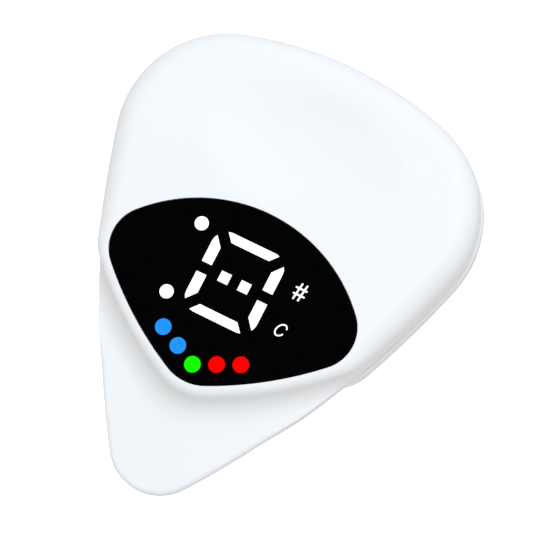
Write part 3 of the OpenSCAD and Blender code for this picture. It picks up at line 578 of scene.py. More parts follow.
def tube(path: Points, radius: float, sides: int = 16) -> Shape:
    """A round wire along a path in space, with slightly domed ends.

    Args:
        path: the points of its centreline.
        radius: the wire's radius.
        sides: how many sides it has.

    Returns:
        The closed shape.
    """
    way = np.gradient(path, axis=0)
    way /= np.linalg.norm(way, axis=1)[:, None]
    turn = np.linspace(0, 2 * math.pi, sides, endpoint=False)[:, None]
    across = np.cross(way[0], [1.0, 0.0, 0.0])
    dome, dome_share = 0.3 * radius, 0.6
    rings = []
    for k, (point, ahead) in enumerate(zip(path, way)):
        across = across - ahead * across.dot(ahead)
        across /= np.linalg.norm(across)
        round_it = radius * (np.cos(turn) * across + np.sin(turn) * np.cross(ahead, across))
        rings.append(point + round_it)
        if k == 0:
            rings.insert(0, point - ahead * dome + round_it * dome_share)
    rings.append(point + ahead * dome + round_it * dome_share)
    shape = Shape()
    shape.loft(rings)
    return shape


# ---------------------------------------------------------------- finishes


class Bench:
    """Lays out the nodes of one material."""

    def __init__(self, name: str) -> None:
        """Starts a material that holds a principled shader."""
        self.material = bpy.data.materials.new(name)
        self.material.use_nodes = True
        self.nodes = self.material.node_tree.nodes
        self.links = self.material.node_tree.links
        self.shader = next(n for n in self.nodes if n.type == "BSDF_PRINCIPLED")
        self.place = self.nodes.new("ShaderNodeTexCoord").outputs["Object"]

    def set(self, **sockets: object) -> None:
        """Sets sockets of the shader, whose names are written with _ for each space."""
        for name, value in sockets.items():
            self.shader.inputs[name.replace("_", " ")].default_value = value

    def add(self, kind: str, **sockets: object) -> bpy.types.Node:
        """Adds a node of a kind and sets its sockets, named in the same way."""
        node = self.nodes.new(f"ShaderNode{kind}")
        for name, value in sockets.items():
            node.inputs[name.replace("_", " ")].default_value = value
        return node

    def stretched(self, scale: tuple[float, float, float]) -> bpy.types.NodeSocket:
        """The object's own coordinates, stretched by a scale."""
        node = self.add("Mapping", Scale=scale)
        self.links.new(self.place, node.inputs["Vector"])
        return node.outputs["Vector"]

    def noise(
        self, size: float, detail: float = 3.0, where: bpy.types.NodeSocket | None = None
    ) -> bpy.types.NodeSocket:
        """A cloudy pattern.

        Args:
            size: the size of its blotches, in metres.
            detail: how many finer layers it has.
            where: the coordinates it is drawn in, if not the object's own.

        Returns:
            Its value, from 0 to 1.
        """
        node = self.add("TexNoise", Scale=1 / size, Detail=detail)
        self.links.new(where or self.place, node.inputs["Vector"])
        return node.outputs["Fac"]

    def cells(self, size: float, feature: str = "F1") -> bpy.types.NodeSocket:
        """A pattern of cells of a size in metres. Returns the distance in each."""
        node = self.add("TexVoronoi", Scale=1 / size)
        node.feature = feature
        self.links.new(self.place, node.inputs["Vector"])
        return node.outputs["Distance"]

    def spread(self, value: bpy.types.NodeSocket, low: float, high: float) -> bpy.types.NodeSocket:
        """Spreads the middle of a 0 to 1 pattern over a range."""
        node = self.add("MapRange", From_Min=0.3, From_Max=0.7, To_Min=low, To_Max=high)
        self.links.new(value, node.inputs["Value"])
        return node.outputs["Result"]

    def tint(
        self, value: bpy.types.NodeSocket, low: Sequence[float], high: Sequence[float]
    ) -> bpy.types.NodeSocket:
        """Colours a 0 to 1 pattern from one colour to another."""
        node = self.add("ValToRGB")
        for stop, position, colour in zip(node.color_ramp.elements, (0.3, 0.7), (low, high)):
            stop.position = position
            stop.color = (*colour, 1)
        self.links.new(value, node.inputs["Fac"])
        return node.outputs["Color"]

    def bump(
        self,
        value: bpy.types.NodeSocket,
        depth: float,
        strength: float = 1.0,
        over: bpy.types.NodeSocket | None = None,
    ) -> bpy.types.NodeSocket:
        """Turns a pattern into relief.

        Args:
            value: the pattern.
            depth: the relief's depth in metres.
            strength: how strongly it shows.
            over: relief that it is added to.

        Returns:
            The changed surface direction.
        """
        node = self.add("Bump", Distance=depth, Strength=strength)
        self.links.new(value, node.inputs["Height"])
        if over is not None:
            self.links.new(over, node.inputs["Normal"])
        return node.outputs["Normal"]

    def drive(self, name: str, value: bpy.types.NodeSocket) -> None:
        """Links a pattern to a socket of the shader."""
        self.links.new(value, self.shader.inputs[name])


def shade(colour: Sequence[float], factor: float) -> tuple[float, ...]:
    """A colour made darker or lighter by a factor."""
    return tuple(min(c * factor, 1.0) for c in colour)


@dataclass(frozen=True)
class MouldedPlastic:
    """Injection-moulded plastic with a fine spark-eroded grain and faint flow clouds."""

    name: str
    colour: tuple[float, float, float]
    roughness: float = 0.42
    gloss: float = 0.4
    grain: float = 0.16 * MM
    grain_depth: float = 0.004 * MM
    clouds: float = 0.02
    glow: float = 0.0

    def build(self) -> bpy.types.Material:
        """Makes the material."""
        bench = Bench(self.name)
        cloud, clouded = bench.noise(9 * MM, 2), shade(self.colour, 1 - self.clouds)
        bench.drive("Base Color", bench.tint(cloud, clouded, self.colour))
        handled, rough = bench.noise(3.2 * MM, 4), self.roughness
        bench.drive("Roughness", bench.spread(handled, rough - 0.05, rough + 0.06))
        sink = bench.bump(bench.noise(7 * MM, 1), 0.01 * MM, 0.5)
        bench.drive("Normal", bench.bump(bench.noise(self.grain, 2), self.grain_depth, 1.0, sink))
        bench.set(Specular_IOR_Level=self.gloss, Metallic=0.0)
        if self.glow:
            bench.set(
                Subsurface_Weight=self.glow,
                Subsurface_Radius=(1.0, 0.9, 0.8),
                Subsurface_Scale=0.6 * MM,
            )
        return bench.material


@dataclass(frozen=True)
class SmokedAcrylic:
    """A polished black window, with the faintest polishing haze."""

    name: str
    colour: tuple[float, float, float] = (0.0006, 0.0006, 0.0007)
    roughness: float = 0.09
    gloss: float = 0.01

    def build(self) -> bpy.types.Material:
        """Makes the material."""
        bench = Bench(self.name)
        haze = bench.noise(2.5 * MM, 5)
        bench.drive("Base Color", bench.tint(haze, shade(self.colour, 0.7), self.colour))
        bench.drive("Roughness", bench.spread(haze, self.roughness - 0.03, self.roughness + 0.05))
        wipe = bench.noise(0.25 * MM, 2, bench.stretched((1.0, 0.08, 1.0)))
        bench.drive("Normal", bench.bump(wipe, 0.0005 * MM, 0.3))
        bench.set(Specular_IOR_Level=self.gloss)
        return bench.material


@dataclass(frozen=True)
class LitLegend:
    """A legend that is lit from behind through a diffusing fill."""

    name: str
    colour: tuple[float, float, float]
    strength: float = 0.92
    body: float = 0.08

    def build(self) -> bpy.types.Material:
        """Makes the material."""
        bench = Bench(self.name)
        diffuser = bench.noise(0.9 * MM, 3)
        unlit = [shade(self.colour, self.body * share) for share in (0.9, 1.0)]
        bench.drive("Base Color", bench.tint(diffuser, *unlit))
        bench.drive("Emission Color", bench.tint(diffuser, shade(self.colour, 0.985), self.colour))
        bench.drive("Roughness", bench.spread(diffuser, 0.3, 0.4))
        bench.drive("Normal", bench.bump(bench.noise(0.1 * MM, 2), 0.002 * MM))
        bench.set(Emission_Strength=self.strength, Specular_IOR_Level=0.01)
        return bench.material


@dataclass(frozen=True)
class Rubber:
    """Soft dark rubber with a matt pebbled skin and a dusty bloom."""

    name: str
    colour: tuple[float, float, float] = (0.035, 0.037, 0.04)

    def build(self) -> bpy.types.Material:
        """Makes the material."""
        bench = Bench(self.name)
        bloom = bench.noise(1.8 * MM, 5)
        bench.drive("Base Color", bench.tint(bloom, self.colour, shade(self.colour, 1.7)))
        bench.drive("Roughness", bench.spread(bloom, 0.7, 0.88))
        pebbles = bench.bump(bench.cells(0.16 * MM, "SMOOTH_F1"), 0.02 * MM, 0.7)
        bench.drive("Normal", bench.bump(bench.noise(0.06 * MM, 3), 0.006 * MM, 0.6, pebbles))
        bench.set(Specular_IOR_Level=0.3, Sheen_Weight=0.15)
        return bench.material


@dataclass(frozen=True)
class Metal:
    """Bare or plated metal with fine marks drawn out along one direction."""

    name: str
    colour: tuple[float, float, float] = (0.72, 0.73, 0.75)
    roughness: float = 0.28
    marks: tuple[float, float, float] = (0.06, 1.0, 1.0)
    mark_size: float = 0.05 * MM
    mark_depth: float = 0.002 * MM

    def build(self) -> bpy.types.Material:
        """Makes the material."""
        bench = Bench(self.name)
        stain = bench.noise(1.4 * MM, 4)
        bench.drive("Base Color", bench.tint(stain, shade(self.colour, 0.82), self.colour))
        drawn = bench.noise(self.mark_size, 3, bench.stretched(self.marks))
        bench.drive("Roughness", bench.spread(drawn, self.roughness - 0.08, self.roughness + 0.12))
        bench.drive("Normal", bench.bump(drawn, self.mark_depth, 0.8))
        bench.set(Metallic=1.0)
        return bench.material


@dataclass(frozen=True)
class SolderMask:
    """A lacquered circuit board, with copper tracks showing as faint ridges."""

    name: str
    colour: tuple[float, float, float] = (0.006, 0.11, 0.05)

    def build(self) -> bpy.types.Material:
        """Makes the material."""
        bench = Bench(self.name)
        tracks = bench.cells(1.3 * MM, "DISTANCE_TO_EDGE")
        node = bench.add("MapRange", From_Min=0.03, From_Max=0.06)
        bench.links.new(tracks, node.inputs["Value"])
        ridge = node.outputs["Result"]
        bench.drive("Base Color", bench.tint(ridge, shade(self.colour, 1.8), self.colour))
        bench.drive("Normal", bench.bump(ridge, 0.03 * MM, 0.5))
        bench.drive("Roughness", bench.spread(bench.noise(2 * MM), 0.25, 0.36))
        bench.set(Coat_Weight=0.3, Coat_Roughness=0.2)
        return bench.material


@dataclass(frozen=True)
class CrinkledSheet:
    """Foil or tape that lies over something with small creases."""

    name: str
    colour: tuple[float, float, float]
    metallic: float = 0.0
    roughness: float = 0.35

    def build(self) -> bpy.types.Material:
        """Makes the material."""
        bench = Bench(self.name)
        crease = bench.noise(1.1 * MM, 6)
        bench.drive("Base Color", bench.tint(crease, shade(self.colour, 0.85), self.colour))
        bench.drive("Roughness", bench.spread(crease, self.roughness - 0.08, self.roughness + 0.12))
        bench.drive("Normal", bench.bump(crease, 0.05 * MM, 0.4))
        bench.set(Metallic=self.metallic)
        return bench.material


FINISHES = {
    "shell_white": MouldedPlastic(
        "moulded_white_shell", (0.86, 0.864, 0.87), 0.45, 0.35, clouds=0.012
    ),
    # painted shade: a dark grey that stands for the shadow in the seam groove
    "painted_seam_shade": MouldedPlastic("seam_shadow_paint", (0.16, 0.15, 0.15), 0.7, 0.1),
    "button_grey": MouldedPlastic("moulded_grey_button", (0.3, 0.31, 0.33), 0.4),
    "lens_black": SmokedAcrylic("polished_black_window"),
    "legend_white": LitLegend("lit_white", (1.0, 1.0, 1.0), 1.0, 0.4),
    "legend_blue": LitLegend("lit_blue", (0.019, 0.305, 1.0)),
    "legend_green": LitLegend("lit_green", (0.007, 1.0, 0.0)),
    "legend_red": LitLegend("lit_red", (1.0, 0.0, 0.0)),
    "tape_black": CrinkledSheet("adhesive_tape", (0.02, 0.02, 0.022), 0.0, 0.6),
    "shield_white": MouldedPlastic("light_shield_plastic", (0.8, 0.8, 0.78), 0.6, 0.3),
    "pad_rubber": Rubber("jaw_rubber"),
    "pin_steel": Metal("ground_pin_steel", marks=(1.0, 0.08, 0.08)),
    "spring_steel": Metal("spring_wire", (0.6, 0.6, 0.61), 0.32, (0.3, 1.0, 1.0)),
    "screw_steel": Metal("plated_screw", (0.5, 0.5, 0.52), 0.3, (1.0, 1.0, 0.1)),
    "board_green": SolderMask("board_lacquer"),
    "chip_black": MouldedPlastic(
        "chip_epoxy", (0.02, 0.021, 0.023), 0.55, 0.4, 0.08 * MM, 0.006 * MM
    ),
    "passive_tan": MouldedPlastic("passive_ceramic", (0.42, 0.3, 0.16), 0.5, 0.4, 0.07 * MM),
    "led_resin": MouldedPlastic(
        "led_resin", (0.85, 0.68, 0.3), 0.25, 0.5, 0.1 * MM, 0.001 * MM, glow=0.4
    ),
    "socket_steel": Metal("stamped_socket_shell", (0.66, 0.66, 0.67), 0.25, (1.0, 0.06, 1.0)),
    "switch_cream": MouldedPlastic("switch_nylon", (0.7, 0.66, 0.55), 0.5, 0.3),
    "cell_foil": CrinkledSheet("cell_pouch_foil", (0.62, 0.63, 0.65), 1.0, 0.3),
    "tab_nickel": Metal("nickel_tab", (0.6, 0.58, 0.52), 0.3, (1.0, 1.0, 0.1)),
    "tape_yellow": CrinkledSheet("insulating_tape", (0.75, 0.55, 0.05), 0.0, 0.3),
    "sensor_brass": Metal("rolled_brass", (0.75, 0.55, 0.24), 0.3, (0.05, 1.0, 1.0)),
    "sensor_ceramic": MouldedPlastic(
        "fired_ceramic", (0.78, 0.74, 0.64), 0.6, 0.3, 0.05 * MM, 0.004 * MM
    ),
}


class Workshop:
    """Keeps the material of each finish, and dresses pieces with them."""

    def __init__(self) -> None:
        """Makes every material."""
        self.materials = {slot: finish.build() for slot, finish in FINISHES.items()}

    def dress(self, piece: bpy.types.Object, slot: str) -> None:
        """Gives a piece the finish of a slot."""
        piece.data.materials.clear()
        piece.data.materials.append(self.materials[slot])

    def fit(self, piece: bpy.types.Object, slot: str, body: Body, node: str) -> None:
        """Dresses a piece, puts it on its body and lets it stand for its node.

        Args:
            piece: the piece, in place.
            slot: the record's slot of its finish.
            body: the body that it rides on.
            node: the node that it stands for.
        """
        self.dress(piece, slot)
        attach(piece, body.value)
        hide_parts(node)
        log.info("%s: %d faces, on %s", piece.name, len(piece.data.polygons), body.value)

    def paint_seam_shade(self, piece: bpy.types.Object, heights: tuple[float, float]) -> None:
        """Paints a groove between two heights dark grey, as painted shade that stands for the shadow
        in the seam's gap.

        Args:
            piece: the piece with the groove.
            heights: the heights of the groove's floor and top.
        """
        # painted shade: the groove's faces get the dark grey in place of the shadow that falls there
        piece.data.materials.append(self.materials["painted_seam_shade"])
        low, high = heights[0] - TINY, heights[1] + TINY
        for face in piece.data.polygons:
            reach = [piece.data.vertices[v].co.z for v in face.vertices]
            if low < min(reach) and max(reach) < high and face.normal.z > -0.5:
                face.material_index = 1

    def dress_node(self, node: str, slot: str) -> None:
        """Gives a node that stays its finish."""
        self.dress(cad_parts[node], slot)
        log.info("%s: kept, in %s", node, slot)


# ---------------------------------------------------------------- the pick form


@dataclass(frozen=True)
class PickForm:
    """The outlines that the shells, the window and the arm share."""

    tip_radius: float = 6.8 * MM
    side_radius: float = 120 * MM
    shoulder_radius: float = 14 * MM
    end_radius: float = 49 * MM
    corner_radius: float = 6.4 * MM
    window_length: float = 23.5 * MM
    window_width: float = 34 * MM
    window_from_tip: float = 14.8 * MM
    window_radii: tuple[float, ...] = (6.2 * MM, 48 * MM, 5.2 * MM, 21.3 * MM)
    rim_width: float = 1.3 * MM
    digit_from_top: float = 9.7 * MM
    clearance: float = 0.1 * MM
    density: int = 5

    def __post_init__(self) -> None:
        """Works out the outlines from the frame and the radii."""
        low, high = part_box("front_shell")
        put = object.__setattr__
        put(self, "tip_y", -high.y)
        put(self, "end_y", high.y)
        put(self, "seam", low.z)
        put(self, "face", high.z)
        radii = (self.tip_radius, self.side_radius, self.shoulder_radius, self.end_radius)
        body = pick_arcs(self.tip_y, 2 * high.y, high.x - low.x, radii)
        tip, side, shoulder, end = body
        window_y = self.tip_y + self.window_from_tip
        window = pick_arcs(window_y, self.window_length, self.window_width, self.window_radii)
        rim = [arc.shrunk(-self.rim_width) for arc in window[:2]]
        centre = meeting_point(*(arc.shrunk(self.corner_radius) for arc in (side, rim[1])), -1)
        corner = Arc(*centre, self.corner_radius)
        many = self.density
        housing_counts = [many * n for n in (6, 11, 5, 5, 9, 8)]
        housing = tangent_outline([*rim, corner, *body[1:]], housing_counts)
        joins = [(tip, side), (side, corner), (side, shoulder), (shoulder, end)]
        stops = [join_angle(a, b) for a, b in joins]
        plate_counts = [many * n for n in (9, 13, 5, 9, 8)]
        put(self, "body_end", end)
        put(self, "housing", housing)
        put(self, "plate", Outline([tip, side, side, shoulder, end], plate_counts, stops))
        put(self, "window", tangent_outline(window, [many * n for n in (4, 8, 6, 8)]))
        put(self, "digit_y", window_y + self.window_length - self.digit_from_top)
        put(self, "reach", np.hypot(*(self.plate.points() - housing.points()).T))
        edge, outline = self.window.points(), housing.points()
        put(self, "to_window", np.array([np.min(np.hypot(*(edge - p).T)) for p in outline]))


# ---------------------------------------------------------------- front shell


@dataclass(frozen=True)
class FrontShell:
    """The moulded front: a raised display housing that sweeps down to a flat jaw plate."""

    form: PickForm
    plate_thickness: float = 2 * MM
    wall: float = 1.6 * MM
    face_thickness: float = 2 * MM
    top_round: float = 3 * MM
    rim_round: float = 1 * MM
    plate_round: float = 0.6 * MM
    under_round: float = 0.7 * MM
    plate_inset: float = 0.3 * MM
    full_flat: float = 1.5 * MM
    sweep_reach: float = 4.5 * MM
    sweep_most: float = 0.7
    sweep_climb: float = 0.85
    undercut: float = 0.3 * MM
    seam_chamfer: float = 0.15 * MM
    window_chamfer: float = 0.04 * MM
    lens_seat: float = 1.1 * MM
    ledge_width: float = 0.9 * MM
    dish_width: float = 28 * MM
    dish_length: float = 16.8 * MM
    dish_depth: float = 0.8 * MM
    dish_from_end: float = 12.6 * MM
    boss_radius: float = 2.2 * MM
    bore_radius: float = 0.85 * MM
    bore_depth: float = 3.2 * MM
    board_top: float = 1.4 * MM
    small_chamfer: float = 0.1 * MM
    bore_chamfer: float = 0.15 * MM
    grid_step: float = 0.55 * MM
    grid_clear: float = 0.4 * MM
    steps: int = 12

    def rounding(self) -> Points:
        """The rounding of the front edge at each point of the housing's outline."""
        room = self.form.to_window - self.form.clearance
        raw = np.clip(room, self.rim_round, self.top_round)
        reach = 4 * self.form.density
        weights = np.hanning(2 * reach + 1)
        weights /= weights.sum()
        smooth = np.convolve(np.concatenate([raw[-reach:], raw, raw[:reach]]), weights, "valid")
        return np.minimum(smooth, np.maximum(room, self.rim_round))

    def sweep_share(self) -> Points:
        """The share of the way from the housing to the plate's edge that the sweep takes."""
        reach = self.form.reach
        return np.minimum(self.sweep_reach, self.sweep_most * reach) / np.maximum(reach, TINY)

    def plate_edge(self) -> list[Points]:
        """Rings from the seam up over the rounded edge of the jaw plate."""
        form, r, under = self.form, self.plate_round, self.under_round
        way = form.plate.points() - form.plate.points(1.0)
        out = np.sum((form.plate.points() - form.housing.points()) * way, 1)
        clear = np.clip((1 - self.sweep_share()) * out / self.full_flat, 0, 1)
        clear = clear**2 * (3 - 2 * clear)

        def ring(plain: float, more: float, z: float) -> Points:
            """A ring that is inset everywhere, and more where the plate stands clear."""
            return form.plate.ring(plain + more * clear, form.seam + z)

        rings = [ring(self.seam_chamfer, self.plate_inset + under - self.seam_chamfer, 0)]
        for z in np.array([0.15, 0.25, 0.35, 0.5, 0.7]) * MM:
            hollow = under - math.sqrt(under**2 - max(under - z, 0) ** 2)
            rings.append(ring(0, self.plate_inset + hollow, z))
        for k in range(self.steps // 2 + 1):
            turn = QUARTER * k / (self.steps // 2)
            inset = self.plate_inset + r * (1 - math.cos(turn))
            rings.append(ring(0, inset, self.plate_thickness - r * (1 - math.sin(turn))))
        rings.append(ring(0, self.plate_inset + r + SUPPORT, self.plate_thickness))
        return rings

    def sweep(self, rounding: Points) -> list[Points]:
        """Rings of the hollow sweep, from level with the plate to upright against the housing."""
        form = self.form
        share = self.sweep_share()
        inner, outer = form.housing.points(), form.plate.points()
        climb = self.sweep_climb * (form.face - form.seam - rounding - self.plate_thickness)
        rings = []
        for k in range(self.steps + 1):
            turn = QUARTER * k / self.steps
            tuck = self.undercut * math.sin(2 * turn) * np.clip(form.reach / (4 * MM), 0, 1) ** 2
            mix = (share * (1 - math.sin(turn)) - tuck / np.maximum(form.reach, TINY))[:, None]
            z = form.seam + self.plate_thickness + climb * (1 - math.cos(turn))
            rings.append(at_height(inner + (outer - inner) * mix, z))
        return rings

    def edge(self, rounding: Points) -> list[Points]:
        """Rings over the rounded front edge, with a last one just inside the flat face."""
        form = self.form
        rings = []
        for k in range(self.steps + 1):
            turn = QUARTER * k / self.steps
            z = form.face - rounding * (1 - math.sin(turn))
            rings.append(form.housing.ring(rounding * (1 - math.cos(turn)), z))
        spare = np.maximum(form.to_window - rounding - self.window_chamfer, 0)
        rings.append(form.housing.ring(rounding + np.minimum(0.3 * spare, 0.06 * MM), form.face))
        return rings

    def face_height(self, plan: Points) -> Points:
        """The height of the front face, with the thumb dish in it."""
        x, y = plan[:, 0], plan[:, 1] - (self.form.end_y - self.dish_from_end)
        share = np.minimum(np.hypot(x / (self.dish_width / 2), y / (self.dish_length / 2)), 1)
        return self.form.face - self.dish_depth * (1 - share**2) ** 1.3

    def bosses(
        self, shape: Shape, places: Sequence[tuple[float, float]], ceiling: float
    ) -> list[range]:
        """The two screw bosses that hang from the ceiling.

        Args:
            shape: the shell's shape so far.
            places: the screws' places.
            ceiling: the height of the ceiling.

        Returns:
            The loops where the bosses leave the ceiling.
        """
        board = self.form.seam + self.board_top
        low = board + self.form.clearance
        profile = [
            (self.boss_radius, low + self.small_chamfer),
            (self.boss_radius - self.small_chamfer, low),
            (self.bore_radius + self.bore_chamfer, low),
            (self.bore_radius, low + self.bore_chamfer),
            (self.bore_radius, board + self.bore_depth),
        ]
        loops = []
        for x, y in places:
            loop = shape.ring(screw_ring(x, y, self.boss_radius, ceiling))
            last = shape.stack([screw_ring(x, y, radius, z) for radius, z in profile], loop)
            shape.faces.append(tuple(last))
            loops.append(loop)
        return loops

    def build(self, shop: Workshop, port: "ChargePort", screws: "HousingScrews") -> None:
        """Makes the shell.

        Args:
            shop: where its finish comes from.
            port: the charging port, whose slot is cut through it.
            screws: the screws, whose bosses it carries.
        """
        form, shape = self.form, Shape()
        rounding = self.rounding()
        rings = self.plate_edge()
        foot = shape.ring(rings[0])
        sweep = self.sweep(rounding)
        across = [rings[-1] + (sweep[0] - rings[-1]) * k / 6 for k in range(1, 6)]
        face = shape.stack([*rings[1:], *across, *sweep, *self.edge(rounding)], foot)
        opening = shape.ring(form.window.ring(-self.window_chamfer, form.face))
        grid = hex_grid(np.array([-25, 0]) * MM, np.array([25, 31]) * MM, self.grid_step)
        grid = at_height(grid, self.face_height(grid))
        shape.fill(face, [opening], extra=grid, clear=self.grid_clear)
        seat, ceiling = form.face - self.lens_seat, form.face - self.face_thickness
        bevel = self.small_chamfer
        profile = [
            (0, form.face - self.window_chamfer), (0, seat), (self.ledge_width - bevel, seat),
            (self.ledge_width, seat - bevel), (self.ledge_width, ceiling),
        ]
        ledge = shape.stack([form.window.ring(inset, z) for inset, z in profile], opening)
        inner = shape.ring(form.housing.ring(self.wall, ceiling))
        shape.fill(inner, [ledge, *self.bosses(shape, screws.places(), ceiling)])
        profile = [(self.wall, form.seam + bevel), (self.wall - bevel, form.seam)]
        last = shape.stack([form.housing.ring(inset, z) for inset, z in profile], inner)
        shape.bridge(last, foot)
        piece = shape.piece("front_moulding")
        solve(piece, [port.slot(form.end_y)], Solve.TAKE)
        shop.fit(piece, "shell_white", Body.HOUSING, "front_shell")


# ---------------------------------------------------------------- rear cover and knuckles


@dataclass(frozen=True)
class Knuckle:
    """A pair of hinge plates square to the pin, each a round eye on a flared foot."""

    eye_radius: float
    inner: float
    thickness: float
    foot_z: float
    foot_low: float
    foot_high: float
    bore_radius: float
    chamfer: float = 0.25 * MM
    flare: float = 0.055

    def profile(self, y: float, z: float) -> Points:
        """The side view of the plate, counter-clockwise as (y, z).

        Args:
            y: the pin's y.
            z: the pin's height.

        Returns:
            The points of the outline.
        """
        away = -1 if self.foot_z > z else 1
        turns, eye_radius = np.linspace(0, math.pi, 33), self.eye_radius
        eye = np.stack([y + eye_radius * np.cos(turns), z + away * eye_radius * np.sin(turns)], 1)
        waist = z + self.flare * (self.foot_z - z)
        low = [(y - eye_radius, waist), (y - self.foot_low, self.foot_z)]
        high = [(y + self.foot_high, self.foot_z), (y + eye_radius, waist)]
        loop = np.vstack([eye, low, high])
        return loop if away > 0 else loop[::-1]

    def solids(self, y: float, z: float) -> list[bpy.types.Object]:
        """The two plates as solids.

        Args:
            y: the pin's y.
            z: the pin's height.

        Returns:
            The plate on the left and the one on the right.
        """
        outer = self.profile(y, z)
        small = offset_loop(outer, self.chamfer)
        bore = circle(y, z, self.bore_radius, 40)
        wide = circle(y, z, self.bore_radius + self.chamfer / 2, 40)
        made = []
        for side in (-1, 1):
            shape = Shape()
            start, end = side * self.inner, side * (self.inner + self.thickness)
            faces = []
            for mouth, body, step in (
                (small, outer, side * self.chamfer), (wide, bore, side * self.chamfer / 2)
            ):
                profile = [(mouth, start), (body, start + step), (body, end - step), (mouth, end)]
                rings = [np.column_stack([np.full(len(loop), x), loop]) for loop, x in profile]
                first = shape.ring(rings[0])
                faces.append((first, shape.stack(rings[1:], first)))
            for skin, hole in zip(*faces):
                shape.fill(skin, [hole], axes=(1, 2))
            made.append(shape.piece("knuckle"))
        return made


@dataclass(frozen=True)
class RearCover:
    """The back of the housing: a shallow tray with hinge ears, screw bosses and a locating lip."""

    form: PickForm
    height: float = 4 * MM
    wall: float = 2.5 * MM
    step: float = 1.7 * MM
    floor: float = 1.2 * MM
    back_round: float = 1.1 * MM
    proud: float = 0.15 * MM
    edge_round: float = 0.3 * MM
    groove_depth: float = 0.5 * MM
    groove_height: float = 0.6 * MM
    lip_chamfer: float = 0.15 * MM
    lip_height: float = 1 * MM
    boss_radius: float = 3 * MM
    boss_top: float = 0.5 * MM
    hole_radius: float = 1.1 * MM
    recess_radius: float = 1.95 * MM
    recess_depth: float = 1.5 * MM
    hole_chamfer: float = 0.1 * MM
    boss_chamfer: float = 0.2 * MM
    steps: int = 12

    def skin(self) -> list[tuple[float, float]]:
        """Insets and heights from the back's edge, over the groove and lip, to the floor."""
        seam, lip, chamfer = self.form.seam, self.form.seam + self.lip_height, self.lip_chamfer
        back, shelf = seam - self.height, seam - self.groove_height
        made = []
        for turn in np.linspace(QUARTER, 0, self.steps + 1):
            inset = self.back_round * (1 - math.cos(turn)) - self.proud
            made.append((inset, back + self.back_round * (1 - math.sin(turn))))
        for turn in np.linspace(0, QUARTER, self.steps // 2 + 1):
            inset = self.edge_round * (1 - math.cos(turn)) - self.proud
            made.append((inset, shelf - self.edge_round * (1 - math.sin(turn))))
        return made + [
            (self.groove_depth, shelf), (self.groove_depth, seam), (self.step, seam),
            (self.step, lip - chamfer), (self.step + chamfer, lip), (self.wall - chamfer, lip),
            (self.wall, lip - chamfer), (self.wall, back + self.floor),
        ]

    def screw_skin(self) -> list[tuple[float, float]]:
        """Radii and heights from a screw's recess in the back, over its boss, to the floor."""
        back, top = self.form.seam - self.height, self.form.seam + self.boss_top
        seat, bevel = back + self.recess_depth, self.hole_chamfer
        recess, hole, boss, soft = (
            self.recess_radius, self.hole_radius, self.boss_radius, self.boss_chamfer,
        )
        return [
            (recess, back + bevel), (recess, seat), (hole, seat), (hole, top - bevel),
            (hole + bevel, top), (boss - soft, top), (boss, top - soft), (boss, back + self.floor),
        ]

    def build(self, shop: Workshop, parts: "Neighbours") -> None:
        """Makes the cover.

        Args:
            shop: where its finish comes from.
            parts: the port, screws, hinge and button that it makes room for.
        """
        form, shape, places = self.form, Shape(), parts.screws.places()
        back, mouth = form.seam - self.height, self.recess_radius + self.hole_chamfer
        mouths = [shape.ring(screw_ring(x, y, mouth, back)) for x, y in places]
        start = shape.ring(form.housing.ring(self.back_round - self.proud + SUPPORT, back))
        shape.fill(start, mouths)
        inner = shape.stack([form.housing.ring(inset, z) for inset, z in self.skin()], start)
        feet = [
            shape.stack([screw_ring(x, y, radius, z) for radius, z in self.screw_skin()], loop)
            for (x, y), loop in zip(places, mouths)
        ]
        shape.fill(inner, feet)
        piece = shape.piece("rear_moulding")
        solve(piece, parts.hinge.ears(back + self.floor), Solve.JOIN)
        solve(piece, [parts.port.slot(form.end_y), parts.button.notch(self.wall)], Solve.TAKE)
        shop.fit(piece, "shell_white", Body.HOUSING, "rear_cover")
        # the seam groove gets painted shade
        shop.paint_seam_shade(piece, (form.seam - self.groove_height, form.seam))


# ---------------------------------------------------------------- hinge and spring


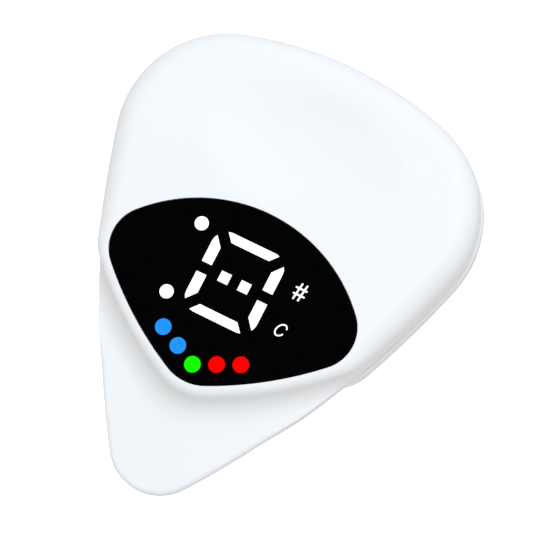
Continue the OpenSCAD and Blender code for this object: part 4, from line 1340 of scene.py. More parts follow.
@dataclass(frozen=True)
class HingeAndSpring:
    """The hinge pin with its ears and lugs, and the two halves of the torsion spring on it."""

    eye_radius: float = 2.9 * MM
    thickness: float = 2.5 * MM
    spring_room: float = 8.4 * MM
    side_gap: float = 0.3 * MM
    pin_gap: float = 0.05 * MM
    wire_radius: float = 0.4 * MM
    coil_radius: float = 1.75 * MM
    turn_gap: float = 0.15 * MM
    leg_length: float = 9.5 * MM
    half_turns: int = 3
    ear_foot: float = 5 * MM
    lug_feet: tuple[float, float] = (6 * MM, 9 * MM)
    foot_sink: float = 0.4 * MM
    ear_press: float = 0.01 * MM
    cover_back: float = 4 * MM
    arm_top: float = 14.1 * MM
    steps_per_turn: int = 40

    def axis(self) -> tuple[float, float, float, float]:
        """The pin's y, height, radius and half length."""
        low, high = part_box("hinge_pin")
        return (low.y + high.y) / 2, (low.z + high.z) / 2, (high.z - low.z) / 2, high.x

    def ears(self, foot_z: float) -> list[bpy.types.Object]:
        """The rear cover's two ears, whose feet reach up to a height."""
        y, z, pin_radius, _ = self.axis()
        inner = self.spring_room / 2 + self.thickness + self.side_gap
        sunk, bore, foot = foot_z - self.foot_sink, pin_radius + self.ear_press, self.ear_foot
        return Knuckle(self.eye_radius, inner, self.thickness, sunk, foot, foot, bore).solids(y, z)

    def lugs(self, foot_z: float) -> list[bpy.types.Object]:
        """The arm's two lugs, whose feet reach down to a height."""
        y, z, pin_radius, _ = self.axis()
        inner, sunk, bore = self.spring_room / 2, foot_z - self.foot_sink, pin_radius + self.pin_gap
        lug = Knuckle(self.eye_radius, inner, self.thickness, sunk, *self.lug_feet, bore)
        return lug.solids(y, z)

    def pin(self, shop: Workshop) -> None:
        """Makes the pin, with chamfered and slightly domed ends."""
        y, z, radius, half = self.axis()
        chamfer = 0.25 * MM
        profile = [
            (0, -half), (radius * 0.5, -half + 0.02 * MM), (radius - chamfer, -half + 0.06 * MM),
            (radius, -half + chamfer),
        ]
        profile += [(r, -h) for r, h in reversed(profile)]
        place = Matrix.Translation((0, y, z)) @ Matrix.Rotation(QUARTER, 4, "Y")
        piece = lathe(profile, place).piece("turned_hinge_pin")
        shop.fit(piece, "pin_steel", Body.HOUSING, "hinge_pin")

    def wire_path(self, drop: float, up: int) -> Points:
        """The centreline of one half of the spring.

        Args:
            drop: the distance from the pin to the face that the leg lies against.
            up: 1 where that face is above the pin, -1 where it is below.

        Returns:
            The points of the centreline.
        """
        y, z, _, _ = self.axis()
        tilt = math.asin((drop - self.wire_radius - 0.05 * MM - self.coil_radius) / self.leg_length)
        start = QUARTER + tilt
        end = (1.5 if up > 0 else 0.5) * math.pi + 2 * math.pi * self.half_turns
        pitch = 2 * self.wire_radius + self.turn_gap
        turn = np.linspace(start, end, self.steps_per_turn * (self.half_turns + 1))
        coil = np.stack(
            [
                -up * pitch * (end - turn) / (2 * math.pi),
                y + self.coil_radius * np.cos(turn),
                z + up * self.coil_radius * np.sin(turn),
            ],
            1,
        )
        leg = np.array([0.0, math.cos(tilt), up * math.sin(tilt)]) * self.leg_length
        straight = [coil[0] + leg * share for share in np.linspace(1, 0.02, 12)]
        return np.vstack([straight, coil])

    def spring(self, shop: Workshop) -> None:
        """Makes the two halves of the spring."""
        seam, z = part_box("front_shell")[0].z, self.axis()[1]
        cover, arm = seam - self.cover_back - z, z - (seam - self.arm_top)
        for name, drop, up, body, node in (
            ("spring_wire_upper", cover, 1, Body.HOUSING, "spring_cover_half"),
            ("spring_wire_lower", arm, -1, Body.CLIP, "spring_arm_half"),
        ):
            shape = tube(self.wire_path(drop, up), self.wire_radius)
            shop.fit(shape.piece(name), "spring_steel", body, node)


# ---------------------------------------------------------------- clip arm


@dataclass(frozen=True)
class ClipArm:
    """The bent arm of the clip, with ribs, hinge lugs and grip grooves."""

    form: PickForm
    thickness: float = 2.4 * MM
    width: float = 34 * MM
    tip_inset: float = 3.5 * MM
    end_inset: float = 4 * MM
    radii: tuple[float, ...] = (5.5 * MM, 108 * MM, 10 * MM, 40 * MM)
    slope: float = math.radians(38)
    lower_bend: float = 8 * MM
    upper_bend: float = 4 * MM
    jaw_below_seam: float = 3.4 * MM
    bend_before_hinge: float = 7 * MM
    edge_round: float = 0.8 * MM
    rib_height: float = 1.2 * MM
    rib_start: float = -7 * MM
    rib_end: float = 9.4 * MM
    groove_count: int = 4
    groove_step: float = 2.8 * MM
    groove_from_end: float = 4 * MM
    groove_radius: float = 1.6 * MM
    groove_depth: float = 0.5 * MM
    rib_slimmer: float = 0.3 * MM
    rib_sink: float = 0.8 * MM
    rib_round: float = 0.45 * MM
    rib_fade: float = 1.6 * MM

    def groove_middles(self) -> list[float]:
        """The places of the grip grooves along the arm."""
        nearest = self.form.end_y - self.end_inset - self.groove_from_end
        return [nearest - k * self.groove_step for k in range(self.groove_count)]

    def outline(self) -> Outline:
        """The arm's plan outline."""
        length = self.form.end_y - self.form.tip_y - self.tip_inset - self.end_inset
        arcs = pick_arcs(self.form.tip_y + self.tip_inset, length, self.width, self.radii)
        return tangent_outline(arcs, [28, 70, 30, 40])

    def middle(self, y: Points, hinge_y: float) -> tuple[Points, Points]:
        """The arm's middle surface seen from the side.

        Args:
            y: places along the arm.
            hinge_y: the pin's y.

        Returns:
            The height and the slope at each place.
        """
        half, seam = self.thickness / 2, self.form.seam
        low_z, jaw_z = half, seam - self.jaw_below_seam - half
        low_r, high_r = self.lower_bend + half, self.upper_bend + half
        start = hinge_y - self.bend_before_hinge
        bend_end = start - low_r * math.sin(self.slope)
        bend_end_z = low_z + low_r * (1 - math.cos(self.slope))
        top_z = jaw_z - high_r * (1 - math.cos(self.slope))
        slope_end = bend_end - (top_z - bend_end_z) / math.tan(self.slope)
        jaw_start = slope_end - high_r * math.sin(self.slope)
        low_turn = np.arcsin(np.clip((start - y) / low_r, 0, math.sin(self.slope)))
        high_turn = np.arcsin(np.clip((y - jaw_start) / high_r, 0, math.sin(self.slope)))
        stretches = [y >= start, y >= bend_end, y >= slope_end, y >= jaw_start]
        heights = [
            np.full_like(y, low_z),
            low_z + low_r * (1 - np.cos(low_turn)),
            bend_end_z + (bend_end - y) * math.tan(self.slope),
            jaw_z - high_r * (1 - np.cos(high_turn)),
        ]
        turns = [np.zeros_like(y), low_turn, np.full_like(y, self.slope), high_turn]
        return np.select(stretches, heights, jaw_z), np.select(stretches, turns, 0.0)

    def grooves(self, y: Points) -> Points:
        """The depth of the grip grooves at places along the arm."""
        depth = np.zeros_like(y)
        for middle in self.groove_middles():
            reach = self.groove_radius**2 - (y - middle) ** 2
            cut = np.sqrt(np.maximum(reach, 0)) - (self.groove_radius - self.groove_depth)
            depth = np.maximum(depth, cut)
        return depth

    def lift(self, plan: Points, height: float, hinge_y: float) -> Points:
        """Places plan points at a height above the arm's back face.

        Args:
            plan: the plan points.
            height: the height above the back face, square to the arm.
            hinge_y: the pin's y.

        Returns:
            The points in space.
        """
        x, y = plan.T
        middle, turn = self.middle(y, hinge_y)
        share = np.clip(1 - height / (self.thickness / 2), 0, 1)
        out = height - self.thickness / 2 + self.grooves(y) * share
        return np.column_stack([x, y + np.sin(turn) * out, middle + np.cos(turn) * out])

    def rib(self, side: int, x: float, width: float, hinge_y: float) -> bpy.types.Object:
        """One rib, a rounded rail that runs out at both ends.

        Args:
            side: -1 or 1.
            x: the distance of its middle from the middle plane.
            width: its width.
            hinge_y: the pin's y.

        Returns:
            The solid.
        """
        half, turns = width / 2, np.linspace(0, QUARTER, 6)
        rings = []
        stations = np.linspace(self.rib_start, hinge_y + self.rib_end, 70)
        for y in stations:
            run = min(y - stations[0], stations[-1] - y) / self.rib_fade
            top = max(self.rib_height * math.sin(QUARTER * min(run, 1)), 0.02 * MM)
            r = min(self.rib_round, top)
            right = [(half, -self.rib_sink)]
            right += [(half - r + r * math.cos(a), top - r + r * math.sin(a)) for a in turns]
            section = right + [(-u, h) for u, h in reversed(right)]
            places = [(np.array([[side * x + u, y]]), self.thickness + h) for u, h in section]
            rings.append(np.vstack([self.lift(plan, height, hinge_y) for plan, height in places]))
        shape = Shape()
        shape.loft(rings)
        return shape.piece("rib")

    def build(self, shop: Workshop, hinge: HingeAndSpring) -> None:
        """Makes the arm.

        Args:
            shop: where its finish comes from.
            hinge: the hinge that it turns on.
        """
        hinge_y = hinge.axis()[0]
        outline = self.outline()
        low, high = outline.points().min(axis=0), outline.points().max(axis=0)
        rows = [y + dy for y in self.groove_middles() for dy in np.linspace(-1.15, 1.15, 11) * MM]
        grooved = np.array([(x, y) for y in rows for x in np.arange(low[0], high[0], 0.9 * MM)])
        plain = hex_grid(low, high, 0.8 * MM)
        plain = plain[plain[:, 1] < min(rows) - 0.3 * MM]
        shape = plate(
            outline.points,
            self.thickness,
            (self.edge_round, self.edge_round),
            lambda plan, height: self.lift(plan, height, hinge_y),
            np.vstack([plain, grooved]),
            0.22 * MM,
        )
        piece = shape.piece("clip_arm_moulding")
        lug_middle = hinge.spring_room / 2 + hinge.thickness / 2
        rib_width = hinge.thickness - self.rib_slimmer
        ribs = [self.rib(side, lug_middle, rib_width, hinge_y) for side in (-1, 1)]
        solve(piece, hinge.lugs(self.thickness), Solve.JOIN)
        solve(piece, ribs, Solve.JOIN)
        shop.fit(piece, "shell_white", Body.CLIP, "clip_arm")


# ---------------------------------------------------------------- jaw pads


@dataclass(frozen=True)
class JawPads:
    """The two rubber pads of the jaw, grooved across their gripping faces."""

    form: PickForm
    arm: ClipArm
    thickness: float = 1.6 * MM
    length: float = 8.4 * MM
    fixed_inset: float = 4.1 * MM
    moving_inset: float = 0.9 * MM
    groove_radius: float = 0.5 * MM
    edge_round: float = 0.3 * MM

    def end(self) -> float:
        """The y at which both pads stop."""
        return self.form.tip_y + self.arm.tip_inset + self.length

    def edge(self, outline: Outline, base: float) -> Callable[[float], Points]:
        """The pad's plan outline: the tip of an outline, cut off square with soft corners."""
        def at(inset: float) -> Points:
            """The outline at an inset."""
            soft, stop = 0.8 * MM, self.end() - inset
            loop = outline.points(base + inset)
            half = len(loop) // 2
            right = loop[: half + 1]
            right = right[right[:, 1] < stop - soft]
            edge_x = np.interp(stop, loop[: half + 1][:, 1], loop[: half + 1][:, 0])
            corner = np.array([edge_x, stop])
            start, end = right[-1], corner - [soft, 0]
            turn = np.linspace(0, 1, 7)[1:, None]
            curve = (1 - turn) ** 2 * start + 2 * turn * (1 - turn) * corner + turn**2 * end
            side = np.vstack([self.even(right, 60), curve, [[end[0] / 2, stop]]])
            return np.vstack([side, [[0, stop]], (side * [-1, 1])[::-1][:-1]])

        return at

    @staticmethod
    def even(path: Points, count: int) -> Points:
        """The same path with a set number of even steps."""
        run = np.concatenate([[0], np.cumsum(np.hypot(*np.diff(path, axis=0).T))])
        steps = np.linspace(0, run[-1], count)
        return np.stack([np.interp(steps, run, path[:, k]) for k in (0, 1)], 1)

    def build(self, shop: Workshop) -> None:
        """Makes both pads."""
        middles = [self.end() - k * self.length / 4 for k in (1, 2, 3)]

        def cut(y: Points) -> Points:
            """The depth of the grooves at places along the pad."""
            reach = [np.sqrt(np.maximum(self.groove_radius**2 - (y - m) ** 2, 0)) for m in middles]
            return np.max(reach, axis=0)

        turns = np.linspace(0, math.pi, 15)
        rows = [m + self.groove_radius * math.cos(a) for m in middles for a in turns]
        inner = np.array([(x, y) for y in rows for x in np.arange(-12, 12, 0.7) * MM])
        seam, top = self.form.seam, self.form.seam - self.arm.jaw_below_seam
        for name, outline, base, low, grip_up, body, node in (
            ("fixed_pad_rubber", self.form.plate, self.fixed_inset, seam - self.thickness, False,
             Body.HOUSING, "fixed_jaw_pad"),
            ("moving_pad_rubber", self.arm.outline(), self.moving_inset, top, True,
             Body.CLIP, "moving_jaw_pad"),
        ):
            def lift(plan: Points, height: float) -> Points:
                """Places points in the pad, sunk where a groove runs."""
                share = height / self.thickness if grip_up else 1 - height / self.thickness
                depth = cut(plan[:, 1]) * max(2 * share - 1, 0)
                return at_height(plan, low + height + (-depth if grip_up else depth))

            shape = plate(
                self.edge(outline, base), self.thickness, (self.edge_round, self.edge_round), lift,
                inner, 0.12 * MM,
            )
            shop.fit(shape.piece(name), "pad_rubber", body, node)


# ---------------------------------------------------------------- display


@dataclass(frozen=True)
class Display:
    """The black window and the lit legends that fill pockets in it."""

    form: PickForm
    thickness: float = 1 * MM
    edge_chamfer: float = 0.08 * MM
    depth: float = 0.4 * MM
    digit_width: float = 10 * MM
    digit_height: float = 11 * MM
    bar: float = 1.4 * MM
    end_bar: float = 1.2 * MM
    end_inner: float = 2.65 * MM
    end_outer: float = 3.6 * MM
    side_inner: float = 2.45 * MM
    side_outer: float = 3.2 * MM
    side_point: float = 3.75 * MM
    point_inset: float = 0.3 * MM
    bevel: float = 0.12 * MM
    dash: float = 1.4 * MM
    mode_dot: float = 1.8 * MM
    mode_x: float = -7.2 * MM
    mode_ys: tuple[float, float] = (4.9 * MM, -4.7 * MM)
    meter_dot: float = 2.1 * MM
    meter_step: float = 2.75 * MM
    meter_rise: float = 1.3 * MM
    meter_drop: float = 11.45 * MM
    mark_x: float = 8 * MM
    sharp_y: float = 2.5 * MM
    ring_y: float = -2.8 * MM
    sharp_size: tuple[float, float] = (1.65 * MM, 2.35 * MM)
    sharp_steps: tuple[float, float] = (0.67 * MM, 0.81 * MM)
    sharp_lean: float = math.radians(7.5)
    sharp_stroke: float = 0.23 * MM
    ring_size: tuple[float, float] = (1.2 * MM, 1.6 * MM)
    ring_lean: float = 0.2 * MM
    ring_stroke: float = 0.18 * MM

    def digit_loops(self) -> list[Points]:
        """The six bars and two dashes of the digit."""
        half_w, half_h, low = self.digit_width / 2, self.digit_height / 2, self.bar / 2
        fine = 0.04 * MM
        inner, outer, bevel = self.end_inner, self.end_outer, self.bevel
        side = soft_corners(
            [
                (half_w - self.bar, low, fine), (half_w, low, fine),
                (half_w, low + self.side_outer, 0.6 * MM),
                (half_w - self.point_inset, low + self.side_point, fine),
                (half_w - self.bar, low + self.side_inner, fine),
            ]
        )
        top = soft_corners(
            [
                (inner, half_h - self.end_bar, fine), (outer, half_h - bevel, fine),
                (outer - 3 * bevel, half_h, 0.4 * MM), (3 * bevel - outer, half_h, 0.4 * MM),
                (-outer, half_h - bevel, fine), (-inner, half_h - self.end_bar, fine),
            ]
        )
        loops = [side * [sx, sy] for sx in (1, -1) for sy in (1, -1)]
        loops += [top, top * [1, -1]]
        half = self.dash / 2
        turns = ((-1, -1), (1, -1), (1, 1), (-1, 1))
        square = soft_corners([(sx * half, sy * half, fine) for sx, sy in turns])
        return loops + [square + [shift, 0] for shift in (-self.dash, self.dash)]

    def sharp_loops(self) -> list[Points]:
        """The four leaning strokes of the sharp sign."""
        loops = []
        for side in (-0.5, 0.5):
            for across, angle in ((0, QUARTER - self.sharp_lean), (1, 0.0)):
                way = np.array([math.cos(angle), math.sin(angle)])
                way *= (self.sharp_size[1 - across] - self.sharp_stroke) / 2
                shift = np.array([1 - across, across]) * side * self.sharp_steps[across]
                path = np.linspace(shift - way, shift + way, 5)
                loops.append(stroke(path, self.sharp_stroke) + [self.mark_x, self.sharp_y])
        return loops

    def ring_loops(self) -> list[Points]:
        """The leaning open ring."""
        turns = np.radians(np.linspace(30, 330, 44))
        width, height = self.ring_size
        across = width / 2 * np.cos(turns) + self.ring_lean * np.sin(turns)
        path = np.stack([across, height / 2 * np.sin(turns)], 1)
        return [stroke(path, self.ring_stroke) + [self.mark_x, self.ring_y]]

    def meter_loop(self, place: int) -> Points:
        """One meter dot, counted from the middle one."""
        y = self.meter_rise * abs(place) - self.meter_drop
        return circle(place * self.meter_step, y, self.meter_dot / 2, 48)

    def legends(self) -> dict[str, tuple[str, list[Points]]]:
        """Each legend's node with its slot and loops, about the middle of the digit."""
        dots = [circle(self.mode_x, y, self.mode_dot / 2, 44) for y in self.mode_ys]
        return {
            "digit_bars": ("legend_white", self.digit_loops()),
            "mode_dots": ("legend_white", dots),
            "sharp_mark": ("legend_white", self.sharp_loops()),
            "mode_mark": ("legend_white", self.ring_loops()),
            "flat_dots": ("legend_blue", [self.meter_loop(k) for k in (-2, -1)]),
            "tune_dot": ("legend_green", [self.meter_loop(0)]),
            "sharp_dots": ("legend_red", [self.meter_loop(k) for k in (1, 2)]),
        }

    def build(self, shop: Workshop) -> None:
        """Makes the window and its legends from one plan, so that they fit each other exactly."""
        form = self.form
        top, low = form.face, form.face - self.thickness
        edge = form.window.points(form.clearance + self.edge_chamfer)
        legends = self.legends()
        groups = {
            node: [loop + [0, form.digit_y] for loop in made] for node, (_, made) in legends.items()
        }
        loops = [edge] + [loop for group in groups.values() for loop in group]
        plan, triangles, _ = triangulate(np.vstack(loops), loop_edges(loops))
        middles = centres(plan, triangles)
        owner = np.where(inside(middles, edge), "window", "outside").astype(object)
        for node, group in groups.items():
            for loop in group:
                owner[inside(middles, loop)] = node
        window = Shape()
        self.relief(window, plan, triangles, owner == "window", top, None)
        for node in groups:
            self.relief(window, plan, triangles, owner == node, top - self.depth, top)
        rim = window.ring(at_height(edge, top))
        side = [form.window.ring(form.clearance, z) for z in (top - self.edge_chamfer, low)]
        window.faces.append(tuple(window.stack(side, rim)))
        shop.fit(window.piece("display_window"), "lens_black", Body.HOUSING, "display_lens")
        for node, (slot, _) in legends.items():
            shape = Shape()
            self.relief(shape, plan, triangles, owner == node, top, top - self.depth)
            self.relief(shape, plan, triangles, owner == node, top - self.depth, None)
            shop.fit(shape.piece(f"lit_{node}"), slot, Body.HOUSING, node)

    @staticmethod
    def relief(
        shape: Shape, plan: Points, triangles: Sequence[tuple[int, ...]], chosen: Points,
        z: float, wall_to: float | None,
    ) -> None:
        """Adds chosen triangles of the plan at a height, with walls round them if they are wanted.

        Args:
            shape: the shape they are added to.
            plan: the plan's points.
            triangles: the plan's triangles.
            chosen: which of them are used.
            z: their height.
            wall_to: the height that their walls reach, or None for no walls.
        """
        faces = [t for t, kept in zip(triangles, chosen) if kept]
        ids = shape.ring(at_height(plan, z))
        shape.faces += [tuple(ids[v] for v in face) for face in faces]
        if wall_to is None:
            return
        sides = {(a, b) for face in faces for a, b in zip(face, face[1:] + face[:1])}
        border = [(a, b) for a, b in sides if (b, a) not in sides]
        other = shape.ring(at_height(plan, wall_to))
        shape.faces += [(ids[a], ids[b], other[b], other[a]) for a, b in border]


# ---------------------------------------------------------------- button, port and screws


@dataclass(frozen=True)
class PowerButton:
    """The grey power button that stands out of the wide end."""

    form: PickForm
    angle: float = math.radians(11.5)
    width: float = 6.4 * MM
    height: float = 2.2 * MM
    rise: float = 0.4 * MM
    flange: float = 0.8 * MM
    slide_gap: float = 0.15 * MM
    below_seam: float = 1.2 * MM
    corner: float = 0.7 * MM
    flange_reach: float = 0.8 * MM
    flange_corner: float = 0.3 * MM
    edge_round: float = 0.35 * MM
    notch_end: float = 5 * MM
    notch_spare: tuple[float, float] = (1 * MM, 3 * MM)
    ridge_step: float = 0.9 * MM
    ridge_half_length: float = 0.45 * MM
    ridge_reach: float = 0.28 * MM
    ridge_depth: float = 0.1 * MM
    ridge_fade: float = 0.3 * MM

    def place(self) -> Matrix:
        """Carries a shape drawn about the wide end's centre, outwards along Y, to the button."""
        end = self.form.body_end
        middle = Matrix.Translation((end.x, end.y, self.form.seam - self.below_seam))
        return middle @ Matrix.Rotation(self.angle, 4, "Z")

    def spans(self) -> tuple[float, float]:
        """How far the flange's back and the button's face are from the wide end's centre."""
        end = self.form.body_end
        along = Vector((-math.sin(self.angle), math.cos(self.angle)))
        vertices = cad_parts["power_button"].data.vertices
        reach = [Vector((v.co.x - end.x, v.co.y - end.y)).dot(along) for v in vertices]
        return min(reach), max(reach)

    def notch(self, wall: float) -> bpy.types.Object:
        """The slot for the button in the rear cover's wall."""
        outer, (back, front) = self.form.body_end.radius, self.notch_spare
        half, high = self.width / 2 + self.slide_gap, self.notch_end
        low = -self.height / 2 - self.slide_gap
        loop = np.array([(-half, low), (half, low), (half, high), (-half, high)])
        shape = Shape()
        shape.loft([square_to_y(loop, y) for y in (outer - wall - back, outer + front)])
        solid = shape.piece("notch")
        solid.data.transform(self.place())
        return solid

    def build(self, shop: Workshop) -> None:
        """Makes the button: a softly rounded bar on a flange, with fine ridges on its face."""
        (back, front), soft = self.spans(), self.edge_round
        half_w, half_h = self.width / 2, self.height / 2

        def section(grow: float, corner: float, y: float) -> Points:
            """A soft-cornered rectangle square to the button's way."""
            w, h = half_w + grow, half_h + min(grow, 0)
            turns = ((w, -h), (w, h), (-w, h), (-w, -h))
            return square_to_y(soft_corners([(x, z, corner) for x, z in turns], 8), y)

        step = back + self.flange
        rings = [section(self.flange_reach, self.flange_corner, y) for y in (back, step)]
        rings.append(section(0.0, self.corner, step))
        for turn in np.linspace(0, QUARTER, 7):
            inset, drop = soft * (1 - math.cos(turn)), soft * (1 - math.sin(turn))
            rings.append(section(-inset, self.corner, front - drop))
        shape = Shape()
        first = shape.ring(rings[0])
        last = shape.stack(rings[1:], first)
        shape.faces.append(tuple(first))
        reach, rise = np.arange(-half_w, half_w, 0.09 * MM), np.arange(-half_h, half_h, 0.12 * MM)
        x, z = np.array([(across, up) for up in rise for across in reach]).T
        ridge = np.zeros(len(x))
        for middle in (-self.ridge_step, 0.0, self.ridge_step):
            away = np.hypot(x - middle, np.maximum(np.abs(z) - self.ridge_half_length, 0))
            share = np.clip(away / self.ridge_reach, 0, 1)
            ridge = np.maximum(ridge, np.cos(share * math.pi) * 0.5 + 0.5)
        fade = np.clip((half_h - soft - np.abs(z)) / self.ridge_fade, 0, 1)
        inner = np.column_stack([x, front - self.ridge_depth * (1 - ridge) * fade, z])
        shape.fill(last, axes=(0, 2), extra=inner, clear=0.06 * MM)
        piece = shape.piece("power_button_cap")
        piece.data.transform(self.place())
        shop.fit(piece, "button_grey", Body.BUTTON, "power_button")


@dataclass(frozen=True)
class ChargePort:
    """The flat charging socket in the wide end, with its tongue and contacts."""

    sheet: float = 0.3 * MM
    lip: float = 0.1 * MM
    back_round: float = 0.15 * MM
    well: float = 1 * MM
    slot_gap: float = 0.15 * MM
    slot_depth: float = 4 * MM
    tongue_round: float = 0.12 * MM

    @staticmethod
    def section(low: Vector, high: Vector, inset: float, y: float, count: int = 22) -> Points:
        """The socket's section at an inset.

        Args:
            low: the low corner of the socket's box.
            high: its high corner.
            inset: how far inside the shell's outside the section lies.
            y: where the section is.
            count: how many points each round end has.

        Returns:
            The section's points, square to Y.
        """
        height = high.z - low.z
        half, radius = (high.x - low.x - height) / 2, height / 2 - inset
        return square_to_y(slot_loop(half, radius, (low.z + high.z) / 2, count), y)

    def slot(self, end_y: float) -> bpy.types.Object:
        """The slot for the socket and its plug, as a solid that is taken from a shell.

        Args:
            end_y: the y of the housing's wide end.

        Returns:
            The solid.
        """
        box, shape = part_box("charging_socket"), Shape()
        ends = (end_y - self.slot_depth, end_y + 1 * MM)
        shape.loft([self.section(*box, -self.slot_gap, y, 25) for y in ends])
        return shape.piece("slot")

    def build(self, shop: Workshop) -> None:
        """Makes the drawn steel shell and the tongue."""
        low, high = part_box("charging_socket")
        lip, inner, bend = self.lip, self.sheet, self.back_round
        profile = [
            (bend, low.y), (0, low.y + bend), (0, high.y - lip), (lip / 2, high.y),
            (inner - lip / 2, high.y), (inner, high.y - lip), (inner, low.y + self.well),
        ]
        shell = Shape()
        shell.loft([self.section(low, high, inset, y) for inset, y in profile])
        shop.fit(shell.piece("socket_shell"), "socket_steel", Body.HOUSING, "charging_socket")
        low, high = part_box("socket_tongue")
        half, soft, rim = (high.x - low.x) / 2, 0.5 * MM, self.tongue_round
        front = [(half, high.y, soft), (-half, high.y, soft)]
        loop = soft_corners([(-half, low.y, 0), (half, low.y, 0), *front])
        bare = plate(partial(offset_loop, loop), high.z - low.z, (rim, rim), flat_lift(low.z))
        piece = bare.piece("socket_tongue_moulding")
        shop.fit(piece, "chip_black", Body.HOUSING, "socket_tongue")


@dataclass(frozen=True)
class HousingScrews:
    """The two cross-head screws that hold the rear cover."""

    head_radius: float = 1.8 * MM
    head_height: float = 1.3 * MM
    core_radius: float = 0.83 * MM
    thread_depth: float = 0.14 * MM
    pitch: float = 0.6 * MM
    cross_reach: float = 1.0 * MM
    cross_half_width: float = 0.22 * MM
    cross_steps: tuple[tuple[float, float], ...] = ((0.8, 0.35 * MM), (0.45, 0.75 * MM))
    dome_start: float = 0.62
    dome_height: float = 0.5 * MM
    rim_chamfer: float = 0.05 * MM
    point_length: float = 0.5 * MM

    def places(self) -> list[tuple[float, float]]:
        """The screws' places in plan."""
        low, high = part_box("housing_screws")
        x, y = high.x - self.head_radius, (low.y + high.y) / 2
        return [(-x, y), (x, y)]

    def cross(self) -> Points:
        """The cross of the head's recess, about its middle."""
        slim, arm = self.cross_half_width, self.cross_reach
        quarter = np.array([(slim, slim), (slim, arm), (-slim, arm)])
        turns = [np.array([[c, -s], [s, c]]) for c, s in ((1, 0), (0, 1), (-1, 0), (0, -1))]
        return np.vstack([quarter @ turn.T for turn in turns])

    def shank(self, seat: float, end: float) -> list[tuple[float | Points, float]]:
        """Radii and heights of the threaded shank, from below its head to its end."""
        turn = np.linspace(0, 1, SCREW_SIDES, endpoint=False)
        tip, made = end - self.point_length, [(self.core_radius, seat)]
        for z in np.arange(seat + 0.1 * MM, tip, self.pitch / 10):
            lead = (z / self.pitch - turn) % 1
            crest = np.clip(1 - np.abs(lead - 0.5) * 4, 0, 1)
            fade = min((z - seat) / (0.6 * MM), (tip - z) / (0.3 * MM), 1)
            made.append((self.core_radius + self.thread_depth * crest * fade, z))
        return made + [(self.core_radius, tip), (self.core_radius * 0.4, end)]

    def build(self, shop: Workshop) -> None:
        """Makes both screws as one piece."""
        low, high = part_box("housing_screws")
        seat, radius, rim = low.z + self.head_height, self.head_radius, self.rim_chamfer
        share = self.dome_start
        profile = [
            (
                radius * (share + (1 - share) * math.sin(turn)),
                low.z + self.dome_height * (1 - math.cos(turn)),
            )
            for turn in np.linspace(0.2, QUARTER, 7)
        ]
        profile += [(radius, seat - rim), (radius - rim, seat), *self.shank(seat, high.z)]
        shape, cross = Shape(), self.cross()
        turn = np.linspace(0, 2 * math.pi, SCREW_SIDES, endpoint=False)
        way = np.stack([np.cos(turn), np.sin(turn)], 1)
        for place in self.places():
            recess = shape.ring(at_height(cross + place, low.z))
            steps = [at_height(cross * k + place, low.z + deep) for k, deep in self.cross_steps]
            shape.faces.append(tuple(shape.stack(steps, recess)))
            start = shape.ring(at_height(way * radius * share + place, low.z))
            shape.fill(start, [recess])
            rings = [at_height(way * np.reshape(r, (-1, 1)) + place, z) for r, z in profile]
            shape.faces.append(tuple(shape.stack(rings, start)))
        shop.fit(shape.piece("cross_head_screws"), "screw_steel", Body.HOUSING, "housing_screws")


@dataclass(frozen=True)
class Neighbours:
    """The pieces that the rear cover makes room for."""

    port: ChargePort
    screws: HousingScrews
    hinge: HingeAndSpring
    button: PowerButton


# ---------------------------------------------------------------- inside, and the studio


@dataclass(frozen=True)
class Electronics:
    """What the closed housing hides: the nodes stay as they are and get their finishes."""

    slots: tuple[tuple[str, str], ...] = (
        ("lens_tape", "tape_black"),
        ("light_shield", "shield_white"),
        ("digit_leds", "led_resin"),
        ("meter_leds", "led_resin"),
        ("main_board", "board_green"),
        ("controller_chip", "chip_black"),
        ("charge_chip", "chip_black"),
        ("board_passives", "passive_tan"),
        ("switch_body", "chip_black"),
        ("switch_plunger", "switch_cream"),
        ("battery_cell", "cell_foil"),
        ("battery_tabs", "tab_nickel"),
        ("battery_tape", "tape_yellow"),
        ("sensor_disc", "sensor_brass"),
        ("sensor_ceramic", "sensor_ceramic"),
        ("sensor_contacts", "sensor_brass"),
    )

    def dress(self, shop: Workshop) -> None:
        """Gives each node its finish."""
        for node, slot in self.slots:
            shop.dress_node(node, slot)


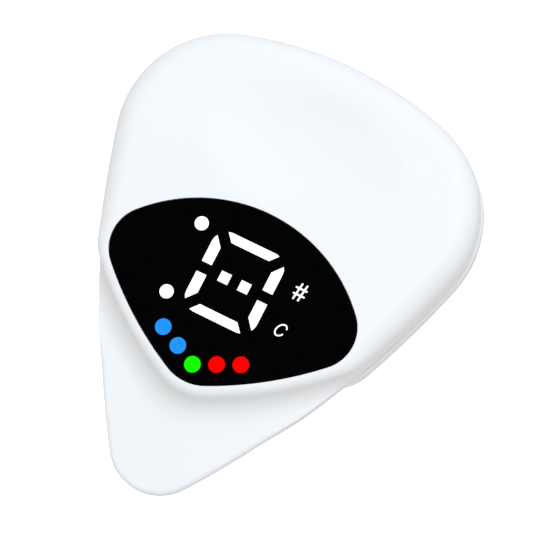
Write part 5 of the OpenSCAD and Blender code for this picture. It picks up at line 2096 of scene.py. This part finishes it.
@dataclass(frozen=True)
class Studio:
    """A white table under a large soft light, and the camera."""

    azimuth: float = math.radians(63.06)
    elevation: float = math.radians(76.24)
    roll: float = math.radians(36.53)
    distance: float = 0.45
    view_width: float = 67.19 * MM
    aim_right: float = 2.505 * MM
    aim_up: float = 1.911 * MM
    sensor: float = 36.0
    table_size: float = 3.0
    table_glow: float = 1.15
    table_drop: float = 10 * MM
    table_tints: tuple[float, float] = (0.9, 0.92)
    fill: float = 0.74
    fill_colour: tuple[float, float, float] = (1.0, 0.985, 0.975)
    key_colour: tuple[float, float, float] = (0.75, 0.89, 1.0)
    key_energy: float = 2.4
    key_size: float = 0.5
    key_distance: float = 0.7
    key_way: tuple[float, float, float] = (0.17, 0.42, 1.0)

    def camera(self, form: PickForm) -> None:
        """Sets the camera above the display, turned as a hand would hold it."""
        toward = Vector((
            math.sin(self.azimuth) * math.cos(self.elevation),
            -math.cos(self.azimuth) * math.cos(self.elevation),
            math.sin(self.elevation),
        ))
        level = Vector((math.cos(self.azimuth), math.sin(self.azimuth), 0))
        upright = toward.cross(level)
        up = upright * math.cos(self.roll) + level * math.sin(self.roll)
        right = up.cross(toward)
        aim = Vector((0, 0, form.seam)) + right * self.aim_right + up * self.aim_up
        data = bpy.data.cameras.new("camera")
        data.sensor_width = self.sensor
        data.lens = self.sensor * self.distance / self.view_width
        data.clip_start = 0.01
        data.clip_end = 20
        camera = put_in_scene("camera", data)
        turn = Matrix((right, up, toward)).transposed().to_4x4()
        camera.matrix_world = Matrix.Translation(aim + toward * self.distance) @ turn
        bpy.context.scene.camera = camera

    def light(self) -> None:
        """Hangs the square soft light over the object."""
        data = bpy.data.lights.new("overhead_softbox", "AREA")
        data.shape = "SQUARE"
        data.size = self.key_size
        data.energy = self.key_energy
        data.color = self.key_colour
        lamp = put_in_scene("overhead_softbox", data)
        lamp.location = Vector(self.key_way).normalized() * self.key_distance
        lamp.rotation_euler = lamp.location.to_track_quat("Z", "Y").to_euler()

    def table(self) -> None:
        """Lays the white table under the object."""
        corners = np.array([(-1, -1, 0), (1, -1, 0), (1, 1, 0), (-1, 1, 0)]) * self.table_size / 2
        mesh = bpy.data.meshes.new("table")
        mesh.from_pydata(corners.tolist(), [], [(0, 1, 2, 3)])
        table = put_in_scene("table", mesh)
        table.location.z = -self.table_drop
        bench = Bench("table_white")
        tints = [(level, level, level) for level in self.table_tints]
        bench.drive("Base Color", bench.tint(bench.noise(40 * MM), *tints))
        bench.set(Roughness=0.8, Emission_Color=(1, 1, 1, 1), Emission_Strength=self.table_glow)
        mesh.materials.append(bench.material)
        table.visible_diffuse = False
        table.visible_glossy = False
        table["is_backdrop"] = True

    def world(self) -> None:
        """Fills the room with even light, over a white surround."""
        world = bpy.data.worlds.new("studio")
        bpy.context.scene.world = world
        world.use_nodes = True
        nodes, links = world.node_tree.nodes, world.node_tree.links
        nodes.clear()
        fill, surround = (nodes.new("ShaderNodeBackground") for _ in range(2))
        for node, colour, level in (
            (fill, self.fill_colour, self.fill), (surround, (1, 1, 1), 1.0),
        ):
            node.inputs["Color"].default_value = (*colour, 1)
            node.inputs["Strength"].default_value = level
        rays = nodes.new("ShaderNodeLightPath")
        mix = nodes.new("ShaderNodeMixShader")
        out = nodes.new("ShaderNodeOutputWorld")
        links.new(rays.outputs["Is Camera Ray"], mix.inputs["Fac"])
        links.new(fill.outputs["Background"], mix.inputs[1])
        links.new(surround.outputs["Background"], mix.inputs[2])
        links.new(mix.outputs["Shader"], out.inputs["Surface"])

    def build(self, form: PickForm) -> None:
        """Sets up the camera, lights, table and room."""
        scene = bpy.context.scene
        scene.view_settings.view_transform = "Standard"
        scene.view_settings.look = "None"
        self.camera(form)
        self.world()
        self.light()
        self.table()


def save_sizes() -> None:
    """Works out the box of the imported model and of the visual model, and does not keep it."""
    boxes = {"cad": cad_box, "visual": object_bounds()}
    {name: [list(corner) for corner in box] for name, box in boxes.items()}


def main() -> None:
    """Builds the tuner's sub-assemblies in order, and then the studio."""
    logging.basicConfig(level=logging.INFO, format="%(name)s: %(message)s")
    shop = Workshop()
    form = PickForm()
    port, screws, hinge, button = ChargePort(), HousingScrews(), HingeAndSpring(), PowerButton(form)
    arm = ClipArm(form)
    FrontShell(form).build(shop, port, screws)
    RearCover(form).build(shop, Neighbours(port, screws, hinge, button))
    Display(form).build(shop)
    arm.build(shop, hinge)
    JawPads(form, arm).build(shop)
    hinge.pin(shop)
    hinge.spring(shop)
    button.build(shop)
    port.build(shop)
    screws.build(shop)
    Electronics().dress(shop)
    Studio().build(form)
    save_sizes()


if __name__ == "__main__":
    main()
